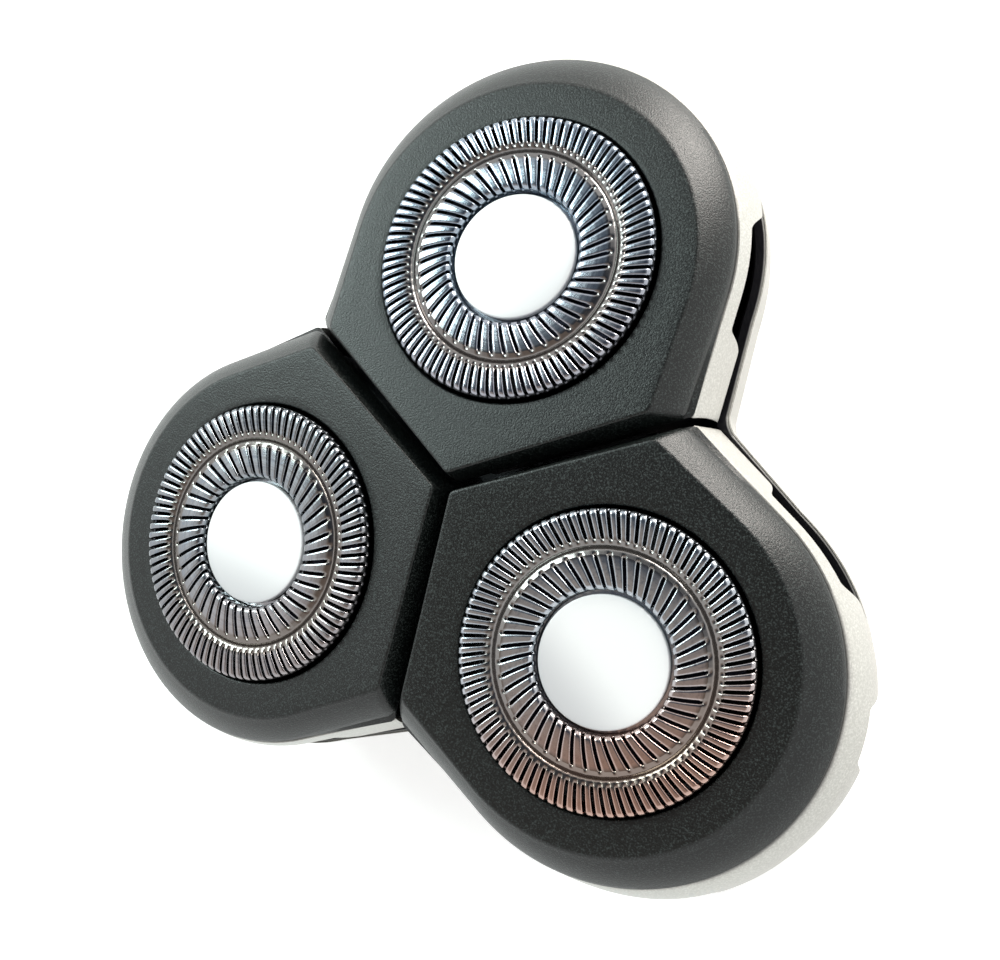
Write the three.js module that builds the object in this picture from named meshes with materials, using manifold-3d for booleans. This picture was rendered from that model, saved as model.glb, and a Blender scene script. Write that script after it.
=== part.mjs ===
// A detached three-head shaving unit: three splayed pods, each with a slotted guard over a spinning
// cutter, on a three-lobed base with one drive gear, three driven gears and a click-on neck.
// Millimetres, +Z out of the shaving faces, origin on the unit's axis in the plane of the neck's rim.
import * as THREE from "three";
import { mergeVertices } from "three/addons/utils/BufferGeometryUtils.js";
import Module from "manifold-3d";

const wasm = await Module();
wasm.setup();

// Layout of the unit
const podCount = 3;
const firstPodTurn = Math.PI / 2;
const splay = THREE.MathUtils.degToRad(5.86);

// Clearances
const runningGap = 0.08;
const seatGap = 0.3;
const cutOverrun = 1.0;

// Pod cover: flat top, broad chamfer, thin lip, skirt that drops into the shell
const coverFlatRim = 2.3;
const coverFlatSideGap = 1.04;
const chamferLengthOut = 1.5;
const chamferWidthOut = 1.7;
const chamferCornerOut = 1.9;
const coverEdgeSideGap = 0.75;
const lobeShift = 1.25;
const chamferDepth = 2.1;
const coverLip = 0.3;
const coverPlate = 1.2;
const skirtInset = 1.0;
const skirtWall = 1.0;
const skirtDepth = 5.0;
const guardHoleGap = 0.6;

// Pod shell: painted band under the cover's edge, bulging outwards to its lower rim
const shellTopOut = 0.15;
const shellTopCornerOut = 0.9;
const shellRimLengthOut = 1.9;
const shellRimWidthOut = 0.65;
const shellRimCornerOut = 1.25;
const shellRimPower = 2.25;
const shellDepth = 6.9;
const shellWall = 0.9;
const shellFlange = 1.0;
const shellSideGap = 0.45;
const shellSideRemoved = -1.5;

// Windows in the shell's lower rim
const flankWindowLength = 10.5;
const flankWindowTopLength = 7.4;
const flankWindowBand = 0.8;
const flankWindowTurn = THREE.MathUtils.degToRad(81.5);
const frontWindowLength = 5.6;
const frontWindowTopLength = 3.6;
const frontWindowBand = 1.8;
const frontWindowTurn = THREE.MathUtils.degToRad(31);

// Pod tray: dark inner body that carries cover and shell, with the hinge knuckle under it
const trayLengthIn = 1.2;
const trayWidthIn = 2.1;
const trayCornerIn = 1.5;
const traySideGap = 1.2;
const trayWall = 1.0;
const trayFloorDepth = 8.0;
const trayFloor = 0.8;
const traySkirt = 1.9;
const traySkirtStart = 8.5;
const spindleHoleRadius = 4.2;

// Guard: slotted ring in two tracks with a groove between them, round a blank centre well
const guardRadius = 10.5;
const guardRise = 0.95;
const guardDeck = 0.37;
const guardShoulder = 0.4;
const guardShare = { wellWall: 0.472, innerTrack: 0.7, groove: 0.748, outerTrack: 0.8 };
const guardWall = 0.5;
const grooveDepth = 0.22;
const wellDepth = 1.2;
const wellFloor = 0.35;
const guardSkirt = 2.85;
const flangeWidth = 1.3;
const flangeThickness = 0.4;
const outerSlots = 48;
const innerSlots = 24;
const outerSlant = THREE.MathUtils.degToRad(10);
const innerSlant = THREE.MathUtils.degToRad(17);
const slotWidth = 0.38;
const slotEndInset = 0.12;

// Centre cap in the guard's well
const capRise = 0.53;
const capThickness = 0.48;
const capEdge = 0.15;

// Rotary cutter: hub with a hexagonal socket under a plate with slanted blades round it
const blades = 9;
const bladeSlant = THREE.MathUtils.degToRad(24);
const bladeThickness = 0.55;
const bladeTrackInset = 0.3;
const bladeGap = 0.08;
const cutterWeb = 0.6;
const cutterGap = 0.25;
const hubRadius = 2.9;
const hubLength = 3.5;
const socketFlats = 3.6;

// Retaining frame under guard and cutter
const frameGap = 1.45;
const frameThickness = 1.0;
const frameOut = 0.26;
const frameRingWidth = 1.9;
const frameHubGap = 0.35;
const frameHubWall = 0.9;
const frameSpokes = 3;
const frameSpokeWidth = 1.6;

// Drive spindle with a hexagonal ball end, its spring and its seal
const tipDepth = 3.75;
const tipRadius = 1.45;
const spindleRadius = 1.2;
const spindleNeckRadius = 0.8;
const spindleTravel = 1.2;
const sealWall = 0.9;
const sealThickness = 1.4;
const springWire = 0.35;

// Pod hinge
const hingeRadial = 4.05;
const hingeClearance = 0.63;
const podTilt = THREE.MathUtils.degToRad(4);
const hingePinRadius = 0.7;
const knuckleRadius = 1.35;
const knuckleWidth = 3.8;
const earThickness = 0.9;
const podSpringReach = 7.6;
const podSpringRadius = 1.5;

// Base bowl
const bowlBottomHeight = 5.0;
const bowlFloor = 1.2;
const bowlWall = 1.0;
const bowlLengthIn = 1.3;
const bowlWidthIn = 0.5;
const bowlCornerIn = 0.1;
const bowlMerge = 0.5;
const bowlBellyStart = 3.0;
const bowlBellyUnder = 0.7;
const bowlBellyInset = 4.4;
const bellyStartShare = 0.12;

// Gears
const driveTeeth = 15;
const drivenTeeth = 13;
const gearThickness = 1.8;
const addendumShare = 0.76;
const dedendumShare = 1.05;
const tipHalfShare = 0.14;
const rootHalfShare = 0.34;
const gearHubRadius = 2.3;
const gearHubHeight = 1.1;
const journalRadius = 1.5;
const journalLength = 0.9;

// Gear cover, its screws and the centre axle
const gearCoverThickness = 0.8;
const gearCoverInset = 1.8;
const gearCoverLobeRadius = 5.2;
const bossRadius = 2.2;
const bossInset = 3.4;
const screwRadius = 0.9;
const screwHeadRadius = 1.7;
const screwHeadHeight = 0.9;
const screwLength = 3.2;
const screwSlotWidth = 0.55;
const axleRadius = 1.0;
const axleHeadRadius = 1.8;
const axleHeadHeight = 0.5;

// Drive coupling on the drive gear
const couplingRadius = 4.2;
const couplingSocketRadius = 3.1;
const couplingRecess = 0.8;
const couplingSocketDepth = 4.2;

// Neck that clicks on the handle
const neckRadius = 13.5;
const neckWall = 1.7;
const neckFlangeRadius = 15.2;
const neckFlangeHeight = 1.3;
const neckLugs = 3;
const lugWidth = 5.0;
const lugReach = 1.1;
const lugHeight = 1.2;
const sealRingWidth = 1.1;
const sealRingOut = 0.7;

// Fineness of round faces
const arcSteps = 12;
const guardSides = 24;
const holeSides = 20;
const roundSides = 12;
const smallSides = 8;
const hexSides = 6;

// Values that follow from the dimensions
const gearLow = bowlBottomHeight + bowlFloor + seatGap;
const gearHigh = gearLow + gearThickness;
const gearCoverLow = gearHigh + seatGap;
const gearCoverHigh = gearCoverLow + gearCoverThickness;
const guardHoleRadius = guardRadius + guardHoleGap;
const coverFlatRadius = guardHoleRadius + coverFlatRim;
const coverEdgeLength = coverFlatRadius + chamferLengthOut;
const coverEdgeWidth = coverFlatRadius + chamferWidthOut;
const coverEdgeCorner = coverFlatRadius + chamferCornerOut;
const shellRimLength = coverEdgeLength + shellRimLengthOut;
const shellRimWidth = coverEdgeWidth + shellRimWidthOut;
const shellRimCorner = coverEdgeCorner + shellRimCornerOut;
const trayLength = coverEdgeLength - trayLengthIn;
const trayWidth = coverEdgeWidth - trayWidthIn;
const trayCorner = coverEdgeCorner - trayCornerIn;
const traySkirtDepth = trayFloorDepth + traySkirt;
const shellTopDepth = chamferDepth + coverLip + seatGap;
const bowlRimDepth = shellDepth + seatGap;
const trackCeiling = guardRise - guardDeck;
const wellWallRadius = guardRadius * guardShare.wellWall;
const cutterTop = trackCeiling - bladeGap;
const webTop = guardRise - wellDepth - wellFloor - cutterGap;
const webBottom = webTop - cutterWeb;
const hubBottom = webBottom - hubLength;
const frameTop = guardRise - guardSkirt - frameGap;
const frameBottom = frameTop - frameThickness;
const frameOuterRadius = guardRadius + flangeWidth + frameOut;

// The pods stand as near the axis as the retaining frames allow inside the covers' skirts
const sideSlope = Math.tan(Math.PI / podCount) * Math.cos(splay);
const frameRoom = (frameOuterRadius + seatGap) / Math.sin(Math.atan(sideSlope));
const skirtRoom = (coverFlatSideGap + skirtWall) / Math.sin(Math.PI / podCount);
const podAxisRadius = (frameRoom + skirtRoom) * Math.cos(splay) - frameBottom * Math.sin(splay);
const unitReach = podAxisRadius + lobeShift + shellRimLength;

// The hinges stand on the gear cover, level with the trays' skirts, and the pods' height follows
const hingeDepth = traySkirtDepth;
const hingeReach = (podAxisRadius - hingeRadial - hingeDepth * Math.sin(splay)) / Math.cos(splay);
const hingeHeight = gearCoverHigh + knuckleRadius + hingeClearance;
const flatTopHeight = hingeHeight - hingeReach * Math.sin(splay) + hingeDepth * Math.cos(splay);

// The gears mesh between the unit's axis and the foot of each spindle
const spindleReach = podAxisRadius - tipDepth * Math.sin(splay);
const tipHeight = flatTopHeight - tipDepth * Math.cos(splay);
const gearModule = (2 * spindleReach) / (driveTeeth + drivenTeeth);
const gearCoverRadius = podAxisRadius - gearCoverInset;
const bossReach = podAxisRadius - bossInset;

// Finishes
const finish = (color, roughness, metalness) => ({ color, roughness, metalness });
const satinBlack = finish(0x2c3433, 0.5, 0.1);
const silverPaint = finish(0xd9d8d2, 0.38, 0.45);
const polishedSteel = finish(0xaab0b8, 0.16, 1.0);
const bladeSteel = finish(0xb9bcc0, 0.28, 1.0);
const mirrorCap = finish(0xe9e9ea, 0.12, 0.9);
const darkPlastic = finish(0x17191d, 0.55, 0.0);
const greyPlastic = finish(0x5b5f63, 0.5, 0.0);
const gearPlastic = finish(0xe6e2d6, 0.45, 0.0);
const rubber = finish(0x111111, 0.85, 0.0);
const springSteel = finish(0x9aa0a5, 0.3, 1.0);

// A closed geometry as a solid that can be joined and cut
function solid(geometry) {
  const bare = new THREE.BufferGeometry();
  bare.setAttribute("position", geometry.getAttribute("position").clone());
  bare.setIndex(geometry.index ? geometry.index.clone() : null);
  const merged = mergeVertices(bare);
  const index = merged.index.array;
  const faces = [];
  for (let i = 0; i < index.length; i += 3) {
    const [a, b, c] = [index[i], index[i + 1], index[i + 2]];
    if (a !== b && b !== c && c !== a) faces.push(a, b, c);
  }
  return new wasm.Manifold(
    new wasm.Mesh({
      numProp: 3,
      vertProperties: merged.getAttribute("position").array,
      triVerts: new Uint32Array(faces),
    }),
  );
}

// A solid's surface as a geometry
function surface(made) {
  const mesh = made.getMesh();
  const geometry = new THREE.BufferGeometry();
  geometry.setAttribute("position", new THREE.BufferAttribute(mesh.vertProperties, 3));
  geometry.setIndex(new THREE.BufferAttribute(mesh.triVerts, 1));
  return geometry;
}

// Several solids joined into one
const joined = (solids) => solids.reduce((sum, next) => sum.add(next));

// A closed profile of [radius, height] pairs turned about the vertical axis
function revolve(profile, sides) {
  const points = profile.map(([radius, height]) => new THREE.Vector2(radius, height));
  points.push(points[0].clone());
  return solid(new THREE.LatheGeometry(points, sides).rotateX(Math.PI / 2));
}

// An upright disc or bar of any number of sides between two heights
const disc = (radius, low, high, sides) =>
  revolve([[0, low], [radius, low], [radius, high], [0, high]], sides);

// The corner radius of a many-sided hole whose flats clear a round bar of the given radius
const clearOf = (radius, sides) => (radius + runningGap) / Math.cos(Math.PI / sides);

// An upright ring between two radii and two heights
const ring = (inner, outer, low, high, sides) =>
  revolve([[inner, low], [outer, low], [outer, high], [inner, high]], sides);

// A flat outline of [x, y] pairs raised between two heights
function prism(outline, low, high) {
  const shape = new THREE.Shape(outline.map(([x, y]) => new THREE.Vector2(x, y)));
  const depth = high - low;
  return solid(new THREE.ExtrudeGeometry(shape, { depth, bevelEnabled: false }).translate(0, 0, low));
}

// A bar with square corners, given by its centre line's ends, its width and two heights
function bar(from, to, width, low, high) {
  const along = new THREE.Vector2(to[0] - from[0], to[1] - from[1]).normalize();
  const side = [(-along.y * width) / 2, (along.x * width) / 2];
  return prism(
    [
      [from[0] - side[0], from[1] - side[1]],
      [to[0] - side[0], to[1] - side[1]],
      [to[0] + side[0], to[1] + side[1]],
      [from[0] + side[0], from[1] + side[1]],
    ],
    low,
    high,
  );
}

// Copies of a solid spread evenly round the vertical axis and joined
function spread(made, count, start = 0) {
  const turns = Array.from({ length: count }, (_, i) => start + (2 * Math.PI * i) / count);
  return joined(turns.map((turn) => moved(made, new THREE.Matrix4().makeRotationZ(turn))));
}

// A solid placed by a matrix
const moved = (made, matrix) => made.transform(matrix.elements);

// A level of a pod: a rounded lobe, two flanks that run to the corners, and two sides that stop short
// of the planes between neighbouring pods, which meet at the unit's axis
function podOutline({ length, width, corner, power = 2, shift = lobeShift, sideGap }, depth) {
  const axisX = -(podAxisRadius - depth * Math.sin(splay)) / Math.cos(splay);
  const apexX = axisX + sideGap / Math.sin(Math.PI / podCount);
  const cornerX = apexX + corner / sideSlope;
  const points = [];
  for (let i = 0; i <= arcSteps; i += 1) {
    const angle = -Math.PI / 2 + (Math.PI * i) / arcSteps;
    const across = Math.sign(Math.sin(angle)) * Math.abs(Math.sin(angle)) ** (2 / power);
    const along = Math.max(Math.cos(angle), 0) ** (2 / power);
    points.push([shift + length * along, width * across]);
  }
  points.push([cornerX, corner], [apexX, 0], [cornerX, -corner]);
  return points;
}

// Outlines at falling depths skinned into one closed solid. A level's lean tips it about the hinge line.
function loft(levels) {
  const rings = levels.map(({ depth, lean = 0, ...form }) => ({
    depth,
    lean,
    outline: podOutline(form, depth),
  }));
  const count = rings[0].outline.length;
  const positions = rings.flatMap(({ depth, lean, outline }) =>
    outline.flatMap(([x, y]) => [x, y, -depth - (x + hingeReach) * Math.tan(lean)]),
  );
  const faces = [];
  for (let level = 0; level + 1 < rings.length; level += 1) {
    for (let i = 0; i < count; i += 1) {
      const next = (i + 1) % count;
      const [a, b] = [level * count + i, level * count + next];
      const [c, d] = [a + count, b + count];
      faces.push(a, c, b, b, c, d);
    }
  }
  const capOf = (level) => {
    const flat = rings[level].outline.map(([x, y]) => new THREE.Vector2(x, y));
    return THREE.ShapeUtils.triangulateShape(flat, []).map((face) => face.map((i) => i + level * count));
  };
  capOf(0).forEach(([a, b, c]) => faces.push(a, b, c));
  capOf(rings.length - 1).forEach(([a, b, c]) => faces.push(a, c, b));
  const geometry = new THREE.BufferGeometry();
  geometry.setAttribute("position", new THREE.Float32BufferAttribute(positions, 3));
  geometry.setIndex(faces);
  return solid(geometry);
}

// A pod outline drawn in by a wall on its lobe, flanks and corners
const insetBy = (form, wall, sideGap) => ({
  ...form,
  length: form.length - wall,
  width: form.width - wall,
  corner: form.corner - wall,
  sideGap,
});

// Forms of the pod at its main levels
const coverFlat = {
  length: coverFlatRadius,
  width: coverFlatRadius,
  corner: coverFlatRadius,
  shift: 0,
  sideGap: coverFlatSideGap,
};
const coverEdge = {
  length: coverEdgeLength,
  width: coverEdgeWidth,
  corner: coverEdgeCorner,
  sideGap: coverEdgeSideGap,
};
const coverSkirt = insetBy(coverEdge, skirtInset, coverFlatSideGap);
const shellTop = {
  length: coverEdgeLength + shellTopOut,
  width: coverEdgeWidth + shellTopOut,
  corner: coverEdgeCorner + shellTopCornerOut,
  sideGap: shellSideGap,
};
const shellRim = {
  length: shellRimLength,
  width: shellRimWidth,
  corner: shellRimCorner,
  power: shellRimPower,
  sideGap: shellSideGap,
};
const trayForm = { length: trayLength, width: trayWidth, corner: trayCorner, sideGap: traySideGap };
const bowlForm = {
  ...shellRim,
  length: shellRimLength - bowlLengthIn,
  width: shellRimWidth - bowlWidthIn,
  corner: shellRimCorner - bowlCornerIn,
  sideGap: -bowlMerge,
};

// A form part way between two others
function between(upper, lower, share) {
  const mix = (a, b) => a + (b - a) * share;
  return {
    length: mix(upper.length, lower.length),
    width: mix(upper.width, lower.width),
    corner: mix(upper.corner, lower.corner),
    power: mix(upper.power ?? 2, lower.power ?? 2),
    sideGap: lower.sideGap,
  };
}

function podCover() {
  const lipDepth = chamferDepth + coverLip;
  const outside = loft([
    { depth: 0, ...coverFlat },
    { depth: chamferDepth, ...coverEdge },
    { depth: lipDepth, ...coverEdge },
  ]);
  const skirt = loft([
    { depth: chamferDepth, ...coverSkirt },
    { depth: skirtDepth, ...coverSkirt },
  ]);
  const hollowForm = insetBy(coverSkirt, skirtWall, coverFlatSideGap + skirtWall);
  const hollow = loft([
    { depth: coverPlate, ...hollowForm },
    { depth: skirtDepth + cutOverrun, ...hollowForm },
  ]);
  const hole = disc(guardHoleRadius, -coverPlate - cutOverrun, cutOverrun, holeSides);
  return outside.add(skirt).subtract(hollow).subtract(hole);
}

// One window cutter: a trapezoid in the shell's wall, narrower at its top, pushed out through the wall
function windowCutter(length, topLength, height, turn) {
  const low = -shellDepth - cutOverrun;
  const high = -shellDepth + height;
  const spreadOut = (length - topLength) / 2 / height;
  const lowHalf = length / 2 + spreadOut * cutOverrun;
  const shape = new THREE.Shape([
    new THREE.Vector2(-lowHalf, low),
    new THREE.Vector2(lowHalf, low),
    new THREE.Vector2(topLength / 2, high),
    new THREE.Vector2(-topLength / 2, high),
  ]);
  const depth = shellRimLength;
  const geometry = new THREE.ExtrudeGeometry(shape, { depth, bevelEnabled: false });
  geometry.rotateX(Math.PI / 2).rotateZ(Math.PI / 2);
  geometry.translate(trayWidth - trayWall, 0, 0).rotateZ(turn).translate(lobeShift, 0, 0);
  return solid(geometry);
}

function podShell() {
  const bulgeShares = [
    [0, 0],
    [0.27, 0.5],
    [0.62, 0.84],
    [1, 1],
  ];
  const outside = loft(
    bulgeShares.map(([depthShare, outShare]) => ({
      depth: shellTopDepth + (shellDepth - shellTopDepth) * depthShare,
      ...between(shellTop, shellRim, outShare),
    })),
  );
  const flangeHole = {
    ...insetBy(shellTop, shellWall, shellSideRemoved),
    corner: shellTop.corner - shellWall / 2,
  };
  const throat = loft([
    { depth: shellTopDepth - cutOverrun, ...flangeHole },
    { depth: shellTopDepth + shellFlange + cutOverrun, ...flangeHole },
  ]);
  const inside = loft([
    {
      depth: shellTopDepth + shellFlange,
      ...insetBy(between(shellTop, shellRim, bulgeShares[1][1]), shellWall, shellSideRemoved),
    },
    { depth: shellDepth + cutOverrun, ...insetBy(shellRim, shellWall, shellSideRemoved) },
  ]);
  const bandHeight = shellDepth - shellTopDepth;
  const flankHeight = bandHeight - flankWindowBand;
  const frontHeight = bandHeight - frontWindowBand;
  const windows = [1, -1].flatMap((side) => [
    windowCutter(flankWindowLength, flankWindowTopLength, flankHeight, side * flankWindowTurn),
    windowCutter(frontWindowLength, frontWindowTopLength, frontHeight, side * frontWindowTurn),
  ]);
  return outside.subtract(throat).subtract(inside).subtract(joined(windows));
}

// A round bar along the pod's crosswise direction
function crossBar(radius, length, x, z, sides) {
  const geometry = new THREE.CylinderGeometry(radius, radius, length, sides);
  return solid(geometry.translate(x, 0, z));
}

function podTray() {
  const topDepth = skirtDepth + seatGap;
  const outside = loft([
    { depth: topDepth, ...trayForm },
    { depth: traySkirtDepth, ...trayForm },
  ]);
  const inner = insetBy(trayForm, trayWall, traySideGap + trayWall);
  const upperHollow = loft([
    { depth: topDepth - cutOverrun, ...inner },
    { depth: trayFloorDepth - trayFloor, ...inner },
  ]);
  const lowerHollow = loft([
    { depth: trayFloorDepth, ...inner },
    { depth: traySkirtDepth + cutOverrun, ...inner },
  ]);
  const noSkirt = bar(
    [-podAxisRadius - cutOverrun, 0],
    [-traySkirtStart, 0],
    2 * (trayCorner + cutOverrun),
    -traySkirtDepth - cutOverrun,
    -trayFloorDepth,
  );
  const hole = disc(spindleHoleRadius, -trayFloorDepth - cutOverrun, -topDepth, roundSides);
  const knuckle = crossBar(knuckleRadius, knuckleWidth, -hingeReach, -hingeDepth, smallSides);
  const knuckleWeb = bar(
    [-hingeReach - knuckleRadius, 0],
    [-hingeReach + knuckleRadius, 0],
    knuckleWidth,
    -hingeDepth,
    -trayFloorDepth + trayFloor / 2,
  );
  const pinHole = crossBar(
    clearOf(hingePinRadius, smallSides),
    knuckleWidth + cutOverrun,
    -hingeReach,
    -hingeDepth,
    smallSides,
  );
  return outside
    .subtract(upperHollow)
    .subtract(lowerHollow)
    .subtract(noSkirt)
    .subtract(hole)
    .add(knuckle)
    .add(knuckleWeb)
    .subtract(pinHole);
}

// Narrow slots through one track, each leaning from the radial direction
function slots(count, inner, outer, slant) {
  const rise = ((outer - inner) / 2) * Math.tan(slant);
  const low = guardRise - 2 * guardDeck;
  const one = bar([inner, -rise], [outer, rise], slotWidth, low, guardRise + cutOverrun);
  return spread(one, count, Math.PI / count);
}

function guard() {
  const top = guardRise;
  const foot = guardRise - guardSkirt;
  const innerEdge = guardRadius * guardShare.innerTrack;
  const grooveRadius = guardRadius * guardShare.groove;
  const outerEdge = guardRadius * guardShare.outerTrack;
  const grooveTop = top - grooveDepth;
  const body = revolve(
    [
      [0, top - wellDepth - wellFloor],
      [wellWallRadius + guardWall, top - wellDepth - wellFloor],
      [wellWallRadius + guardWall, trackCeiling],
      [guardRadius - guardWall, trackCeiling],
      [guardRadius - guardWall, foot],
      [guardRadius + flangeWidth, foot],
      [guardRadius + flangeWidth, foot + flangeThickness],
      [guardRadius, foot + flangeThickness],
      [guardRadius, top - guardShoulder],
      [guardRadius - guardShoulder, top],
      [outerEdge, top],
      [grooveRadius, grooveTop],
      [innerEdge, top],
      [wellWallRadius + guardShoulder, top],
      [wellWallRadius, top - guardShoulder],
      [wellWallRadius, top - wellDepth],
      [0, top - wellDepth],
    ],
    guardSides,
  );
  const wallInside = guardRadius - guardWall;
  const wellOutside = wellWallRadius + guardWall;
  const outer = slots(outerSlots, outerEdge + slotEndInset, wallInside - slotEndInset, outerSlant);
  const inner = slots(innerSlots, wellOutside + slotEndInset, innerEdge - slotEndInset, innerSlant);
  return body.subtract(outer).subtract(inner);
}

function centreCap() {
  const radius = wellWallRadius - seatGap;
  const low = capRise - capThickness;
  return revolve(
    [
      [0, low],
      [radius, low],
      [radius, capRise - capEdge],
      [radius - capEdge, capRise],
      [0, capRise],
    ],
    guardSides,
  );
}

function cutter() {
  const from = wellWallRadius + guardWall + bladeTrackInset;
  const to = guardRadius - guardWall - bladeTrackInset;
  const rise = ((to - from) / 2) * Math.tan(bladeSlant);
  const blade = bar([from, -rise], [to, rise], bladeThickness, webBottom, cutterTop);
  const hexRadius = socketFlats / 2 / Math.cos(Math.PI / hexSides);
  const plate = disc((from + to) / 2, webBottom, webTop, roundSides);
  const hub = disc(hubRadius, hubBottom, webBottom + cutterWeb / 2, smallSides);
  const socket = disc(hexRadius, hubBottom - cutOverrun, webBottom, hexSides);
  return joined([plate, hub, spread(blade, blades)]).subtract(socket);
}

function retainingFrame() {
  const innerRadius = frameOuterRadius - frameRingWidth;
  const hubHole = hubRadius + frameHubGap;
  const rim = ring(innerRadius, frameOuterRadius, frameBottom, frameTop, roundSides);
  const hub = ring(hubHole, hubHole + frameHubWall, frameBottom, frameTop, smallSides);
  const spoke = bar(
    [hubHole + frameHubWall / 2, 0],
    [innerRadius + frameRingWidth / 2, 0],
    frameSpokeWidth,
    frameBottom,
    frameTop,
  );
  return joined([rim, hub, spread(spoke, frameSpokes)]);
}

function floatSpring() {
  const inner = guardRadius + seatGap;
  const outer = guardRadius + flangeWidth;
  const foot = guardRise - guardSkirt;
  return ring(inner, outer, frameTop + seatGap, foot - seatGap, roundSides);
}

function spindle() {
  const bottom = gearHigh + spindleTravel + seatGap;
  const neckTop = tipHeight - tipRadius * Math.cos(Math.PI / 4);
  const shaftTop = gearCoverHigh + gearHubHeight;
  const shaft = disc(spindleRadius, bottom, shaftTop, hexSides);
  const neck = disc(spindleNeckRadius, bottom, neckTop + spindleNeckRadius / 2, hexSides);
  const half = tipRadius * Math.sin(Math.PI / 4);
  const ball = revolve(
    [
      [0, tipHeight - tipRadius],
      [half, tipHeight - half],
      [tipRadius, tipHeight],
      [half, tipHeight + half],
      [0, tipHeight + tipRadius],
    ],
    hexSides,
  );
  return joined([shaft, neck, ball]);
}

// The coil under the spindle fills this sleeve at its outer and inner diameter
function spindleSpring() {
  const outer = spindleRadius * Math.cos(Math.PI / hexSides);
  const low = gearLow + seatGap;
  const high = gearHigh + spindleTravel;
  return ring(outer - springWire, outer, low, high, smallSides);
}

function spindleSeal() {
  const inner = spindleHoleRadius - seatGap - sealWall;
  const middle = -trayFloorDepth + trayFloor / 2;
  const low = middle - sealThickness / 2;
  const high = middle + sealThickness / 2;
  return ring(inner, spindleHoleRadius - seatGap, low, high, smallSides);
}

function hingePin() {
  const length = knuckleWidth + 2 * (seatGap + earThickness);
  return crossBar(hingePinRadius, length, hingeRadial, hingeHeight, smallSides);
}

function podSpring() {
  const under = trayFloorDepth * Math.cos(splay) - podSpringReach * Math.sin(splay);
  const radial = podAxisRadius - podSpringReach;
  const high = flatTopHeight - under - seatGap - podSpringRadius * Math.sin(splay);
  const low = gearCoverHigh + seatGap;
  const made = ring(podSpringRadius - springWire, podSpringRadius, low, high, smallSides);
  return moved(made, new THREE.Matrix4().makeTranslation(radial, 0, 0));
}

// Where each pod's own frame lies in the unit's frame
function podMatrix(turn) {
  const place = new THREE.Matrix4().makeTranslation(podAxisRadius, 0, flatTopHeight);
  return new THREE.Matrix4()
    .makeRotationZ(turn)
    .multiply(place)
    .multiply(new THREE.Matrix4().makeRotationY(splay));
}

const podTurns = Array.from({ length: podCount }, (_, i) => firstPodTurn + (2 * Math.PI * i) / podCount);

// The bowl's rim follows the shells' rims as they lie with the pods fully tilted
function baseBowl() {
  const rimTravel = (trayLength + hingeReach) * Math.tan(podTilt);
  const bellyDepth = bowlRimDepth + rimTravel + bowlBellyStart;
  const floorDepth = flatTopHeight - bowlBottomHeight + bowlBellyUnder;
  const belly = (wall, overrun) => [
    { depth: bowlRimDepth - overrun, lean: podTilt, ...insetBy(bowlForm, wall, -bowlMerge) },
    { depth: bellyDepth, ...insetBy(bowlForm, wall + bellyStartShare * bowlBellyInset, -bowlMerge) },
    { depth: floorDepth, ...insetBy(bowlForm, wall + bowlBellyInset, -bowlMerge) },
  ];
  const lobes = (levels) => joined(podTurns.map((turn) => moved(loft(levels), podMatrix(turn))));
  const ceiling = flatTopHeight;
  const wide = clearOf(unitReach, hexSides);
  const above = disc(wide, bowlBottomHeight, ceiling, hexSides);
  const aboveFloor = disc(wide, bowlBottomHeight + bowlFloor, ceiling + cutOverrun, hexSides);
  const outside = lobes(belly(0, 0)).intersect(above);
  const inside = lobes(belly(bowlWall, cutOverrun)).intersect(aboveFloor);
  const floorTop = bowlBottomHeight + bowlFloor;
  const atBosses = (made) =>
    spread(
      moved(made, new THREE.Matrix4().makeTranslation(bossReach, 0, 0)),
      podCount,
      firstPodTurn + Math.PI / podCount,
    );
  const bosses = atBosses(disc(bossRadius, floorTop - bowlFloor / 2, gearCoverLow, smallSides));
  const boreLow = gearCoverHigh - screwLength - seatGap;
  const bores = atBosses(disc(screwRadius + runningGap, boreLow, gearCoverHigh, smallSides));
  const centreHole = disc(couplingRadius + seatGap, 0, ceiling, roundSides);
  const journals = spread(
    moved(
      disc(clearOf(journalRadius, smallSides), gearLow - seatGap - journalLength, gearHigh, smallSides),
      new THREE.Matrix4().makeTranslation(spindleReach, 0, 0),
    ),
    podCount,
    firstPodTurn,
  );
  return outside
    .subtract(inside)
    .add(bosses)
    .subtract(bores)
    .subtract(centreHole)
    .subtract(journals);
}

// A spur gear's outline with straight-flanked teeth, one tooth centred on the given turn
function gearOutline(teeth, turn) {
  const pitchRadius = (gearModule * teeth) / 2;
  const tip = pitchRadius + gearModule * addendumShare;
  const root = pitchRadius - gearModule * dedendumShare;
  const pitch = (2 * Math.PI) / teeth;
  const points = [];
  for (let i = 0; i < teeth; i += 1) {
    const middle = turn + pitch * i;
    for (const [radius, share] of [
      [root, -rootHalfShare],
      [tip, -tipHalfShare],
      [tip, tipHalfShare],
      [root, rootHalfShare],
    ]) {
      points.push([radius * Math.cos(middle + pitch * share), radius * Math.sin(middle + pitch * share)]);
    }
  }
  return points;
}

function driveGear() {
  const wheel = prism(gearOutline(driveTeeth, firstPodTurn), gearLow, gearHigh);
  const hub = disc(couplingRadius, couplingRecess, gearHigh, roundSides);
  const socket = disc(couplingSocketRadius, 0, couplingRecess + couplingSocketDepth, hexSides);
  const bore = disc(clearOf(axleRadius, smallSides), 0, gearHigh + cutOverrun, smallSides);
  return wheel.add(hub).subtract(socket).subtract(bore);
}

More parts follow.
